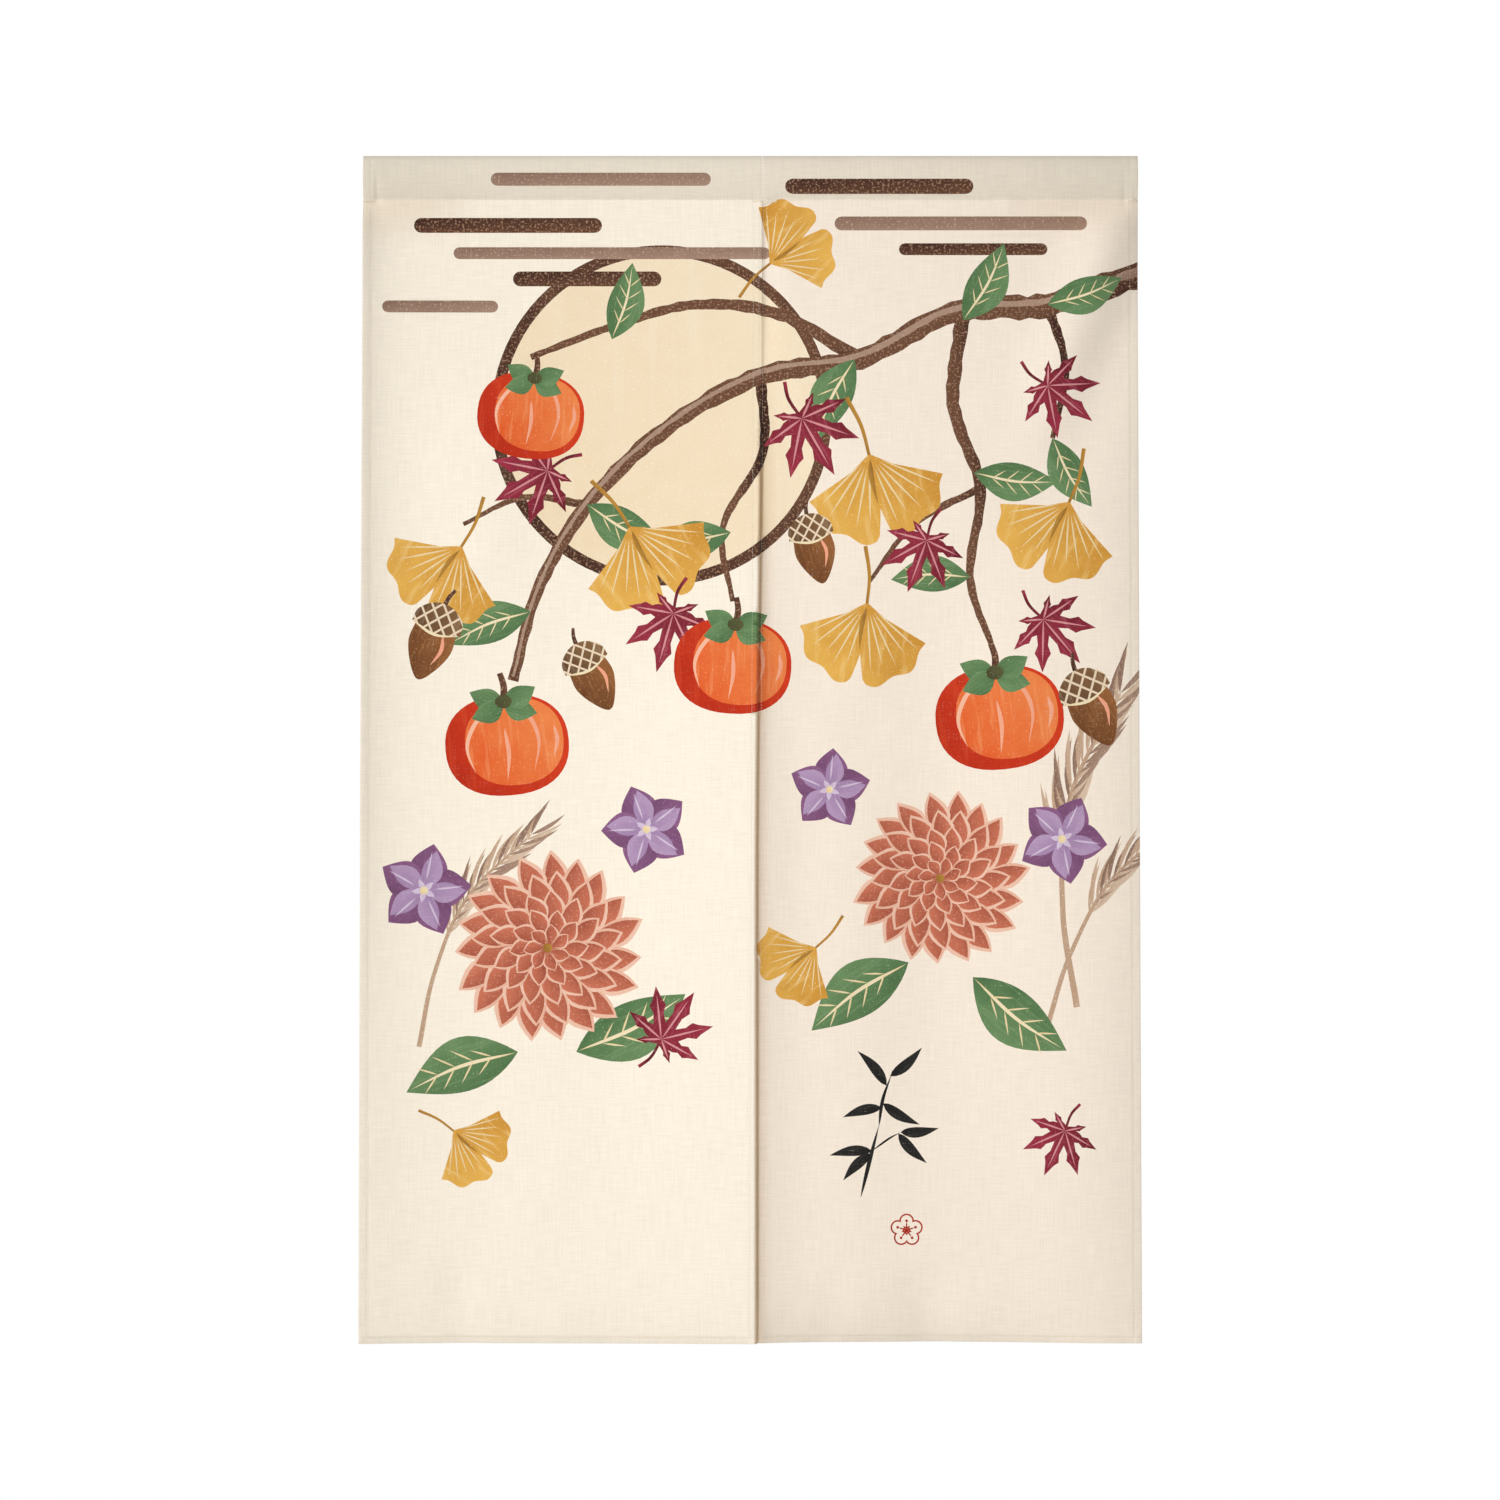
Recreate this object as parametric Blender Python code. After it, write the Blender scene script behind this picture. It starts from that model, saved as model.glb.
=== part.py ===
"""Noren: a split doorway curtain of linen-look cloth, 80 by 120 cm nominal.

Two cloth panels hang side by side. The left one laps over the right one, they are sewn
together down to the top of the slit, and their top edges are folded back into one rod
pocket. Metres, +Z up, the front faces -Y, and the origin is the middle of the top fold.
"""

from collections import namedtuple
from math import cos, exp, pi, radians, sin

import bmesh
import bpy

# The cloth
DROP = 1.200            # top fold to bottom edge
TOP_WIDTH = 0.782       # both panels, across the top fold
BOTTOM_WIDTH = 0.792    # both panels, across the bottom edge
CLOTH = 0.0010          # one layer
HEM_LAYERS = 2
SIDE_HEM = 0.010
BOTTOM_HEM = 0.008
HEM_STEP = 0.0008       # where a hem's turned edge drops to one layer
CLEAR = 0.0003          # between the two panels

# The rod pocket
POCKET_DROP = 0.044     # top fold to the pocket's row of stitches
POCKET_DEPTH = 0.015    # front to back at its widest, outside
POCKET_SEAM = 0.002     # the hollow starts this far above the stitches
POCKET_CREASE = 0.0002  # half the hollow's width at its closed lower end
WIDEST_TURN = 0.304     # the share of a full turn at which the teardrop is widest

# The slit and the lap behind it
SLIT_TOP_X = 0.0115     # the left panel's inner edge at the top fold
SLIT_BOTTOM_X = 0.0067  # and at the bottom edge
SLIT_DRIFT = 0.220      # it goes over from the one to the other between this drop
SLIT_PLUMB = 0.750      # and this one
SLIT_START = 0.218      # the panels are sewn together down to here
SLIT_OPEN = 0.300       # and from here down the left one's edge is fully curled
CURL = 0.0050           # that edge curls back this far
CURL_RUN = 0.0034       # over this width
LAP = 0.0065            # the right panel reaches this far behind the left one
LAP_START = 0.003       # the lap begins this far under the pocket's stitches
LAP_FULL = 0.009        # and is full width here
TUCK_LOW = 0.0112       # from TUCK_GROWN down, the right panel passes this far behind the left one
TUCK_FROM = 0.180
TUCK_GROWN = 0.600
TUCK_RUN_TOP = 0.020    # under the pocket it comes forward again over this width beside its hem
TUCK_RUN_LOW = 0.500    # and lower down hardly at all
GROOVE = 0.0050         # behind the curled edge the right panel lies this much further back
GROOVE_EDGE = 0.0062    # as far as this from its own edge
GROOVE_OUT = 0.0088     # and has come forward again here
RECEDE = 0.0024         # under the pocket's stitches both panels fall back this far
RECEDE_DROP = 0.040     # over this drop
SETTLE = 0.030          # folds grow in over this drop under the pocket

# How finely the cloth is modelled
COLUMNS = 18            # across one panel, between its hems
HEM_POINTS = (0.0, 0.0012, 0.0024, 0.0038, 0.0062, 0.0075, 0.0088, SIDE_HEM, SIDE_HEM + HEM_STEP)
HEM_COLUMNS = len(HEM_POINTS) - 1  # the columns of points on a hem's double cloth
LAST_COLUMN = COLUMNS + 2 * HEM_COLUMNS
ROWS = 38               # down one panel, between its hem and the lap
HEM_ROWS = 2            # the rows of points on the bottom hem's double cloth
POCKET_STEPS = 14       # round the pocket
EDGE_ANGLE = 40         # degrees; a sharper turn than this shows as an edge

CLOTH_COLOUR = (0.85, 0.77, 0.65)
CLOTH_ROUGHNESS = 0.9

# Soft folds. x and z are a fold's middle, lean turns its line from upright in degrees (a
# positive lean carries the lower end to +X), width and length are its half sizes across and
# along, and rise is how far it stands towards the viewer.
Fold = namedtuple("Fold", "panel name x z lean width length rise")
FOLDS = (
    Fold("left", "upper swell", -0.264, -0.340, 0, 0.055, 0.095, 0.0060),
    Fold("left", "lower wave", -0.225, -1.000, 3, 0.055, 0.230, 0.0018),
    Fold("left", "hollow by the hem", -0.288, -0.850, 2, 0.064, 0.360, -0.0034),
    Fold("left", "bottom crease", -0.291, -1.190, 8, 0.021, 0.075, -0.0038),
    Fold("left", "middle hollow", -0.150, -0.720, -2, 0.070, 0.300, -0.0025),
    Fold("left", "roll along the slit", 0.030, -0.960, 0, 0.150, 0.560, 0.0110),
    Fold("left", "outer edge", -0.398, -0.620, 0, 0.036, 0.700, 0.0085),
    Fold("left", "hem curled forward", -0.397, -0.420, 0, 0.016, 0.440, 0.0055),
    Fold("left", "corner under the pocket", -0.398, -0.078, 0, 0.020, 0.050, 0.0036),
    Fold("left", "bottom turned under", -0.150, -1.228, 90, 0.042, 0.260, -0.0090),
    Fold("right", "edge behind the slit", -0.010, -0.960, 0, 0.130, 0.560, 0.0104),
    Fold("right", "ridge against the slit", 0.002, -0.960, 0, 0.030, 0.560, 0.0080),
    Fold("right", "inner wave", 0.105, -0.760, 1, 0.050, 0.460, 0.0025),
    Fold("right", "broad hollow", 0.200, -0.860, 0, 0.150, 0.460, -0.0050),
    Fold("right", "hollow between the waves", 0.185, -0.760, 0, 0.050, 0.260, -0.0022),
    Fold("right", "outer wave", 0.320, -0.860, 2, 0.060, 0.440, 0.0030),
    Fold("right", "middle swell", 0.270, -0.530, 0, 0.045, 0.090, 0.0025),
    Fold("right", "bottom turned under", 0.140, -1.228, 90, 0.042, 0.190, -0.0185),
    Fold("right", "bottom hollow", 0.184, -1.195, 10, 0.030, 0.065, -0.0042),
    Fold("right", "inner bottom hollow", 0.076, -1.195, -14, 0.018, 0.050, -0.0020),
    Fold("right", "ridge from the corner", 0.343, -0.118, -22, 0.030, 0.140, 0.0045),
    Fold("right", "crease beside it", 0.337, -0.170, -20, 0.028, 0.130, 0.0036),
    Fold("right", "hollow beside the crease", 0.379, -0.170, -20, 0.032, 0.140, -0.0036),
    Fold("right", "outer edge", 0.402, -0.620, 0, 0.028, 0.600, -0.0040),
)


def smooth(start, end, value):
    """0 before start, 1 past end, and an even S curve between them."""
    share = min(1.0, max(0.0, (value - start) / (end - start)))
    return share * share * (3.0 - 2.0 * share)


def between(first, last, share):
    return first + (last - first) * share


def outer_x(z):
    """Half the width of the whole curtain at a height."""
    return between(TOP_WIDTH, BOTTOM_WIDTH, -z / DROP) / 2


def slit_x(z):
    """The left panel's inner edge at a height."""
    return between(SLIT_TOP_X, SLIT_BOTTOM_X, smooth(SLIT_DRIFT, SLIT_PLUMB, -z))


def edges_x(panel, z):
    """A panel's two side edges at a height, lower x first."""
    if panel == "left":
        return -outer_x(z), slit_x(z)
    under_pocket = -POCKET_DROP - z
    lap = between(-CLEAR, LAP, smooth(LAP_START, LAP_FULL, under_pocket))
    return slit_x(z) - lap, outer_x(z)


def forward(panel, x, z):
    """How far the hanging cloth stands towards the viewer at one place of a panel."""
    total = 0.0
    for fold in FOLDS:
        if fold.panel == panel:
            lean = radians(fold.lean)
            across = (x - fold.x) * cos(lean) + (z - fold.z) * sin(lean)
            along = (z - fold.z) * cos(lean) - (x - fold.x) * sin(lean)
            total += fold.rise * exp(-(across / fold.width) ** 2 - (along / fold.length) ** 4)
    under = min(1.0, max(0.0, (-POCKET_DROP - z) / RECEDE_DROP))
    recede = RECEDE * (1.0 - (1.0 - under) ** 2)
    return total * smooth(POCKET_DROP, POCKET_DROP + SETTLE, -z) - recede


def tuck(panel, x, z):
    """How far the cloth bends back along the slit, where the right panel is behind the left."""
    low, high = edges_x(panel, z)
    opened = smooth(SLIT_START, SLIT_OPEN, -z)
    if panel == "left":
        return CURL * opened * max(0.0, 1.0 - (high - x) / CURL_RUN) ** 2
    grown = smooth(TUCK_FROM, TUCK_GROWN, -z)
    depth = between(HEM_LAYERS * CLOTH + CLEAR, TUCK_LOW, grown)
    run = between(TUCK_RUN_TOP, TUCK_RUN_LOW, grown)
    beside = 1.0 - smooth(0.0, run, x - low - SIDE_HEM - HEM_STEP)
    groove = GROOVE * opened * (1.0 - smooth(GROOVE_EDGE, GROOVE_OUT, x - low))
    return depth * beside * smooth(0.0, LAP_START, -POCKET_DROP - z) + groove


def column_x(panel, column, z):
    """Where one column of points stands at a height: close together on the hems, then evenly."""
    low, high = edges_x(panel, z)
    if column < len(HEM_POINTS):
        return low + HEM_POINTS[column]
    if LAST_COLUMN - column < len(HEM_POINTS):
        return high - HEM_POINTS[LAST_COLUMN - column]
    share = (column - HEM_COLUMNS) / COLUMNS
    return between(low + HEM_POINTS[-1], high - HEM_POINTS[-1], share)


def is_hem(column):
    """0 for no hem, -1 for the hem at the lower x, 1 for the hem at the higher x."""
    if column < HEM_COLUMNS:
        return -1
    if LAST_COLUMN - column < HEM_COLUMNS:
        return 1
    return 0


def pocket_layers(panel, column):
    """The outer hem runs up through the pocket, the hem along the slit doesn't."""
    outer_side = -1 if panel == "left" else 1
    return HEM_LAYERS if is_hem(column) == outer_side else 1


def sheet_layers(panel, column, row, z):
    """Layers of cloth at a point under the pocket."""
    if row < HEM_ROWS:
        return HEM_LAYERS
    layers = pocket_layers(panel, column)
    if is_hem(column) and layers == 1:
        return between(1, HEM_LAYERS, smooth(0.0, LAP_START, -POCKET_DROP - z))
    return layers


def sheet_heights():
    """The rows of points from the bottom edge up to the pocket's stitches."""
    hem_top = BOTTOM_HEM + HEM_STEP - DROP
    lap_full = -POCKET_DROP - LAP_FULL
    body = [between(hem_top, lap_full, step / ROWS) for step in range(ROWS + 1)]
    return [-DROP, BOTTOM_HEM - DROP] + body + [-POCKET_DROP - LAP_START, -POCKET_DROP]


def pocket_ring(panel, column, inside):
    """One column's ring round the pocket, from the stitches up the front and down the back.

    The ring is a teardrop that closes at the stitches. The inner ring is the hollow.
    """
    wall = CLOTH * pocket_layers(panel, column)
    low = -POCKET_DROP + (POCKET_SEAM if inside else 0.0)
    high = -wall if inside else 0.0
    depth = POCKET_DEPTH / 2 - (wall if inside else 0.0)
    closed = POCKET_CREASE if inside else wall
    widest = sin(2 * pi * WIDEST_TURN) * sin(pi * WIDEST_TURN)
    ring = []
    for step in range(POCKET_STEPS + 1):
        turn = 2 * pi * step / POCKET_STEPS
        z = between(low, high, (1 - cos(turn)) / 2)
        pinch = cos(turn / 2) ** 2
        half = closed * pinch + depth * abs(sin(turn) * sin(turn / 2)) / widest
        side = -1 if step < POCKET_STEPS / 2 else 1
        if 2 * step == POCKET_STEPS:
            half = 0.0
        middle = (wall - CLOTH / 2) * pinch
        ring.append((column_x(panel, column, z), middle + side * half, z))
    return ring


def sheet_faces(panel, column):
    """One column's points down the front and down the back of the hanging sheet."""
    front, back = [], []
    for row, z in enumerate(sheet_heights()):
        x = column_x(panel, column, z)
        y = -CLOTH / 2 - forward(panel, x, z) + tuck(panel, x, z)
        front.append((x, y, z))
        back.append((x, y + CLOTH * sheet_layers(panel, column, row, z), z))
    return front, back


def add_walls(bm, rings):
    """Quads between each ring of points and the next."""
    for here, there in zip(rings, rings[1:]):
        for k in range(len(here)):
            n = (k + 1) % len(here)
            bm.faces.new((here[k], here[n], there[n], there[k]))


def add_end(bm, front, back, outer, inner):
    """The cut edge of the cloth at one side: sheet, stitched seam and pocket walls."""
    for k in range(len(front) - 1):
        bm.faces.new((front[k], front[k + 1], back[k + 1], back[k]))
    for k in range(len(outer) - 1):
        bm.faces.new((outer[k], outer[k + 1], inner[k + 1], inner[k]))
    bm.faces.new((outer[0], inner[0], inner[-1], outer[-1], back[-1]))


def make_panel(panel):
    """One panel as a closed body: columns of points, walls between them and two cut ends."""
    bm = bmesh.new()
    outlines, hollows, ends = [], [], []
    for column in range(LAST_COLUMN + 1):
        front, back = sheet_faces(panel, column)
        outer = pocket_ring(panel, column, inside=False)
        inner = pocket_ring(panel, column, inside=True)
        front = [bm.verts.new(point) for point in front[:-1] + outer[:1]]
        back = [bm.verts.new(point) for point in back]
        outer = front[-1:] + [bm.verts.new(point) for point in outer[1:]]
        inner = [bm.verts.new(point) for point in inner]
        outlines.append(front + outer[1:] + back[::-1])
        hollows.append(inner)
        ends.append((front, back, outer, inner))
    add_walls(bm, outlines)
    add_walls(bm, hollows)
    add_end(bm, *ends[0])
    add_end(bm, *ends[-1])
    bmesh.ops.recalc_face_normals(bm, faces=bm.faces)
    mesh = bpy.data.meshes.new("panel_" + panel)
    bm.to_mesh(mesh)
    bm.free()
    mesh.shade_smooth()
    mesh.set_sharp_from_angle(angle=radians(EDGE_ANGLE))
    mesh.materials.append(cloth_material(panel))
    bpy.context.collection.objects.link(bpy.data.objects.new("panel_" + panel, mesh))


def cloth_material(panel):
    material = bpy.data.materials.new("cloth_" + panel)
    material.use_nodes = True
    shader = material.node_tree.nodes["Principled BSDF"]
    shader.inputs["Base Color"].default_value = (*CLOTH_COLOUR, 1.0)
    shader.inputs["Roughness"].default_value = CLOTH_ROUGHNESS
    shader.inputs["Metallic"].default_value = 0.0
    return material


def main():
    for thing in list(bpy.data.objects):
        bpy.data.objects.remove(thing, do_unlink=True)
    for panel in ("left", "right"):
        make_panel(panel)


main()
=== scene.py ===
"""Noren: the looks of a split doorway curtain of printed, linen-look cloth.

Two thin printed cloth panels hang on the folds of the curtain's solids, with turned hems, an
open rod pocket and rows of stitches. The print is drawn on the flat cloth as outlines in
painting order, and the cloth's own faces are cut along them, each wearing its ink.
"""

from collections import namedtuple
from math import cos, pi, radians, sin

import bpy
import numpy as np
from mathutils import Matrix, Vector
from mathutils.geometry import delaunay_2d_cdt


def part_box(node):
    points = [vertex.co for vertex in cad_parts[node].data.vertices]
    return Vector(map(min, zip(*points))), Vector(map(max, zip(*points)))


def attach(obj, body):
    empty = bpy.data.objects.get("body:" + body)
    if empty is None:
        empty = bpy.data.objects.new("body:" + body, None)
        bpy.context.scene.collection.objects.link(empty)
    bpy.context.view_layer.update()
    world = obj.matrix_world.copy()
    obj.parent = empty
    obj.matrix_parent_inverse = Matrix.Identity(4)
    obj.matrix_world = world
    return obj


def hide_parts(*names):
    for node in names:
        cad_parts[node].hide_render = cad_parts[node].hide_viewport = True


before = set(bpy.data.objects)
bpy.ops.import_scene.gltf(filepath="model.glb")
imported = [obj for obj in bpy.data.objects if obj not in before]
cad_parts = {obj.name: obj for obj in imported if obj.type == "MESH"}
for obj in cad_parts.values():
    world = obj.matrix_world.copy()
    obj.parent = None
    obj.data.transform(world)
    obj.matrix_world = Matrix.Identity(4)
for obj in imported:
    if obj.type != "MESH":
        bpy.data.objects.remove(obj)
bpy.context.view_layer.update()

bl_info = {
    "name": "Noren curtain",
    "version": (1, 0, 0),
    "blender": (4, 5, 0),
    "location": "3D View > Sidebar > Noren",
    "description": "A split doorway curtain of printed linen-look cloth, with its sewing",
    "category": "Object",
}

LEFT_LOW, LEFT_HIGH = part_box("panel_left")
RIGHT_LOW, RIGHT_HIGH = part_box("panel_right")
MM = 0.001


def linear(code):
    """An sRGB hex value as the linear colour that shaders and lights take."""
    parts = [int(code[k:k + 2], 16) / 255 for k in (0, 2, 4)]
    return tuple(p / 12.92 if p <= 0.04045 else ((p + 0.055) / 1.055) ** 2.4 for p in parts)


# Settings a user would change

def length(name, text, default):
    return bpy.props.FloatProperty(name=name, description=text, default=default, unit="LENGTH",
                                   min=0.0, precision=4)


def tint(name, text, code):
    return bpy.props.FloatVectorProperty(name=name, description=text, default=linear(code),
                                         subtype="COLOR", size=3, min=0.0, max=1.0)


class NorenCloth(bpy.types.PropertyGroup):
    """Sizes of the cloth, its hems, pocket and slit"""

    drop: length("Drop", "Top fold to bottom edge", -LEFT_LOW[2])
    bottom_width: length("Bottom width", "Both panels at the hem", RIGHT_HIGH[0] - LEFT_LOW[0])
    top_width: length("Top width", "Both panels at the top fold", 0.782)
    thread: length("Cloth thickness", "One layer of cloth", 0.00055)
    solid: length("Solid thickness", "One layer of cloth in the solids", 0.0010)
    side_hem: length("Side hem", "Width of the turned side hems", 0.010)
    bottom_hem: length("Bottom hem", "Depth of the turned bottom hem", 0.008)
    pocket_drop: length("Pocket", "Top fold to the pocket's stitches", 0.044)
    pocket_depth: length("Pocket depth", "Front to back at its widest", 0.015)
    slit_top: length("Slit edge, top", "The left panel's inner edge at the top", 0.0115)
    slit_bottom: length("Slit edge, bottom", "The same at the bottom edge", 0.0067)
    slit_start: length("Slit start", "The panels are sewn together down to here", 0.218)
    lap: length("Lap", "The right panel reaches this far behind the left", 0.0065)
    cell: length("Mesh cell", "Spacing of the cloth's points", 0.0065)


class NorenPrint(bpy.types.PropertyGroup):
    """Colours of the cloth and thread"""

    ground: tint("Left cloth", "Unprinted cloth of the left panel, one layer", "FDF2E0")
    # The right panel's cloth is a little pinker, and a little darker as painted shade
    ground_right: tint("Right cloth", "The same of the right panel, a little pinker", "FAECDB")
    # Painted shade: cloth that lies double is drawn greyer, for the light from behind that two
    # layers hold back
    doubled_shade: tint("Doubled cloth", "Cloth over another layer", "E7DCCA")
    sewing: tint("Thread", "Sewing thread", "E9DDC9")
    # Painted shade: the dark line and shadow along the slit, and the shade under the pocket's outer
    # ends
    painted_shade: tint("Handled edge", "Soiled cloth along the slit's edges, which hands part", "D6C5AE")
    ghost: bpy.props.FloatProperty(name="Show-through", description="Strength of the print on "
                                   "the back", default=0.16, min=0.0, max=1.0, subtype="FACTOR")


class NorenStage(bpy.types.PropertyGroup):
    """Floor, light and camera"""

    view_height: length("View height", "Height of the picture at the cloth", 1.5152)
    distance: length("Camera distance", "Camera to cloth", 6.5)
    view_drop: length("View centre", "Picture centre under the top fold", 0.600)
    floor_drop: length("Floor", "Floor under the top fold", 1.95)
    key_power: bpy.props.FloatProperty(name="Key light", description="Power of the far light at "
                                       "the upper left", default=229.0, min=0.0, unit="POWER")
    front_power: bpy.props.FloatProperty(name="Front light", description="Power of the near light "
                                         "in front", default=8.9, min=0.0, unit="POWER")
    rear_power: bpy.props.FloatProperty(name="Rear light", description="Power of the light behind "
                                        "the cloth, for its back", default=170.0, min=0.0,
                                        unit="POWER")
    ambient: bpy.props.FloatProperty(name="Room light", description="Even light from all round",
                                     default=0.265, min=0.0)


# How the cloth hangs. x and z are a fold's middle, lean turns its line from upright in degrees
# (a positive lean carries the lower end to +X), width and length are its half sizes across and
# along, and rise is how far it stands towards the viewer.
Fold = namedtuple("Fold", "panel name x z lean width length rise")
FOLDS = (
    Fold("left", "upper swell", -0.264, -0.340, 0, 0.055, 0.095, 0.0060),
    Fold("left", "lower wave", -0.225, -1.000, 3, 0.055, 0.230, 0.0018),
    Fold("left", "hollow by the hem", -0.288, -0.850, 2, 0.064, 0.360, -0.0034),
    Fold("left", "bottom crease", -0.291, -1.190, 8, 0.021, 0.075, -0.0038),
    Fold("left", "middle hollow", -0.150, -0.720, -2, 0.070, 0.300, -0.0025),
    Fold("left", "roll along the slit", 0.030, -0.960, 0, 0.150, 0.560, 0.0110),
    Fold("left", "outer edge", -0.398, -0.620, 0, 0.036, 0.700, 0.0085),
    Fold("left", "hem curled forward", -0.397, -0.420, 0, 0.016, 0.440, 0.0055),
    Fold("left", "corner under the pocket", -0.398, -0.078, 0, 0.020, 0.050, 0.0036),
    Fold("left", "bottom turned under", -0.150, -1.228, 90, 0.042, 0.260, -0.0090),
    Fold("right", "edge behind the slit", -0.010, -0.960, 0, 0.130, 0.560, 0.0104),
    Fold("right", "ridge against the slit", 0.002, -0.960, 0, 0.030, 0.560, 0.0080),
    Fold("right", "inner wave", 0.105, -0.760, 1, 0.050, 0.460, 0.0025),
    Fold("right", "broad hollow", 0.200, -0.860, 0, 0.150, 0.460, -0.0050),
    Fold("right", "hollow between the waves", 0.185, -0.760, 0, 0.050, 0.260, -0.0022),
    Fold("right", "outer wave", 0.320, -0.860, 2, 0.060, 0.440, 0.0030),
    Fold("right", "middle swell", 0.270, -0.530, 0, 0.045, 0.090, 0.0025),
    Fold("right", "bottom turned under", 0.140, -1.228, 90, 0.042, 0.190, -0.0185),
    Fold("right", "bottom hollow", 0.184, -1.195, 10, 0.030, 0.065, -0.0042),
    Fold("right", "inner bottom hollow", 0.076, -1.195, -14, 0.018, 0.050, -0.0020),
    Fold("right", "ridge from the corner", 0.343, -0.118, -22, 0.030, 0.140, 0.0045),
    Fold("right", "crease beside it", 0.337, -0.170, -20, 0.028, 0.130, 0.0036),
    Fold("right", "hollow beside the crease", 0.379, -0.170, -20, 0.032, 0.140, -0.0036),
    Fold("right", "outer edge", 0.402, -0.620, 0, 0.028, 0.600, -0.0040),
)
SETTLE = 0.030        # folds grow in over this drop under the pocket
LAP_EARLY = -0.001    # the looks' lap begins 1 mm over the pocket's stitches, to let no light in
LAP_START = 0.003     # the right panel is behind the left one from here
LAP_FULL = 0.009      # and is full width here
TUCK_TOP = 0.0023     # the right panel bends back this far behind the left one, under the pocket
TUCK_LOW = 0.0112     # and this far from TUCK_GROWN down
TUCK_FROM = 0.180
TUCK_GROWN = 0.600
TUCK_RUN_TOP = 0.020  # under the pocket it comes forward again over this width beside its hem
TUCK_RUN_LOW = 0.500  # and lower down hardly at all
TUCK_START = 0.0008   # which starts this far past the hem
CLEAR = 0.0003
SLIT_DRIFT = 0.220    # the slit drifts from its top place to its bottom one between this drop
SLIT_PLUMB = 0.750    # and this one
SLIT_OPEN = 0.300     # from here down the left panel's edge is fully curled
CURL = 0.0050         # that edge curls back this far
CURL_RUN = 0.0034     # over this width
GROOVE = 0.0050       # behind the curled edge the right panel lies this much further back
GROOVE_EDGE = 0.0062  # as far as this from its own edge
GROOVE_OUT = 0.0088   # and has come forward again here
RECEDE = 0.0024       # under the pocket's stitches both panels fall back this far
RECEDE_DROP = 0.040   # over this drop
STITCH_IN = 0.0080    # side hem stitches, from the edge
STITCH_UP = 0.0066    # bottom hem stitches, from the edge
SEAM_IN = 0.0030      # the centre seam's stitches, from the left panel's edge
ROUND = 0.0016        # a turned edge is rounded over this width
ROUND_BACK = 0.0003   # and falls back by this much
DEEPEST = 0.608 * pi  # the pocket is deepest at this turn up from its stitches
TAIL_BACK = 2.3       # at the stitches its tail is this many layers behind the front


def sizes():
    return bpy.context.scene.noren_cloth


def smooth(start, end, value):
    """0 before start, 1 past end, and an even S curve between them."""
    share = np.clip((value - start) / (end - start), 0.0, 1.0)
    return share * share * (3.0 - 2.0 * share)


def hill(value, width):
    return np.exp(-(value / width) ** 2)


def wander(value, pitch, seed):
    """An uneven wave from -1 to 1 or so, of about this pitch, the same each run."""
    draw = np.random.default_rng(seed)
    total = np.zeros_like(value, dtype=float)
    for stretch in (0.62, 0.83, 1.0, 1.37, 1.9):
        total += np.sin(2 * pi * value / (pitch * stretch) + draw.uniform(0, 2 * pi))
    return total / 2.6


def outer_x(z):
    s = sizes()
    return (s.top_width + (s.bottom_width - s.top_width) * -z / s.drop) / 2


def slit_x(z):
    s = sizes()
    return s.slit_top + (s.slit_bottom - s.slit_top) * smooth(SLIT_DRIFT, SLIT_PLUMB, -z)


def edges_x(panel, z):
    """A panel's two side edges at a height, lower x first."""
    s = sizes()
    if panel == "left":
        return -outer_x(z), slit_x(z)
    lap = -CLEAR + (s.lap + CLEAR) * smooth(LAP_EARLY, LAP_FULL, -s.pocket_drop - z)
    return slit_x(z) - lap, outer_x(z)


def forward(panel, x, z):
    """How far the hanging cloth stands towards the viewer, from the table of folds."""
    total = np.zeros_like(x, dtype=float)
    for fold in FOLDS:
        if fold.panel == panel:
            lean = radians(fold.lean)
            across = (x - fold.x) * cos(lean) + (z - fold.z) * sin(lean)
            along = (z - fold.z) * cos(lean) - (x - fold.x) * sin(lean)
            total += fold.rise * np.exp(-(across / fold.width) ** 2 - (along / fold.length) ** 4)
    drop = sizes().pocket_drop
    under = np.clip((-drop - z) / RECEDE_DROP, 0.0, 1.0)
    return total * smooth(drop, drop + SETTLE, -z) - RECEDE * (1.0 - (1.0 - under) ** 2)


def tuck(panel, x, z):
    """How far the cloth bends back along the slit, where the right panel is behind the left."""
    s = sizes()
    low, high = edges_x(panel, z)
    opened = smooth(s.slit_start, SLIT_OPEN, -z)
    if panel == "left":
        return CURL * opened * np.maximum(0.0, 1.0 - (high - x) / CURL_RUN) ** 2
    grown = smooth(TUCK_FROM, TUCK_GROWN, -z)
    depth = TUCK_TOP + (TUCK_LOW - TUCK_TOP) * grown
    run = TUCK_RUN_TOP + (TUCK_RUN_LOW - TUCK_RUN_TOP) * grown
    beside = 1.0 - smooth(0.0, run, x - low - s.side_hem - TUCK_START)
    groove = GROOVE * opened * (1.0 - smooth(GROOVE_EDGE, GROOVE_OUT, x - low))
    return depth * beside * smooth(0.0, LAP_START, -s.pocket_drop - z) + groove


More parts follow.
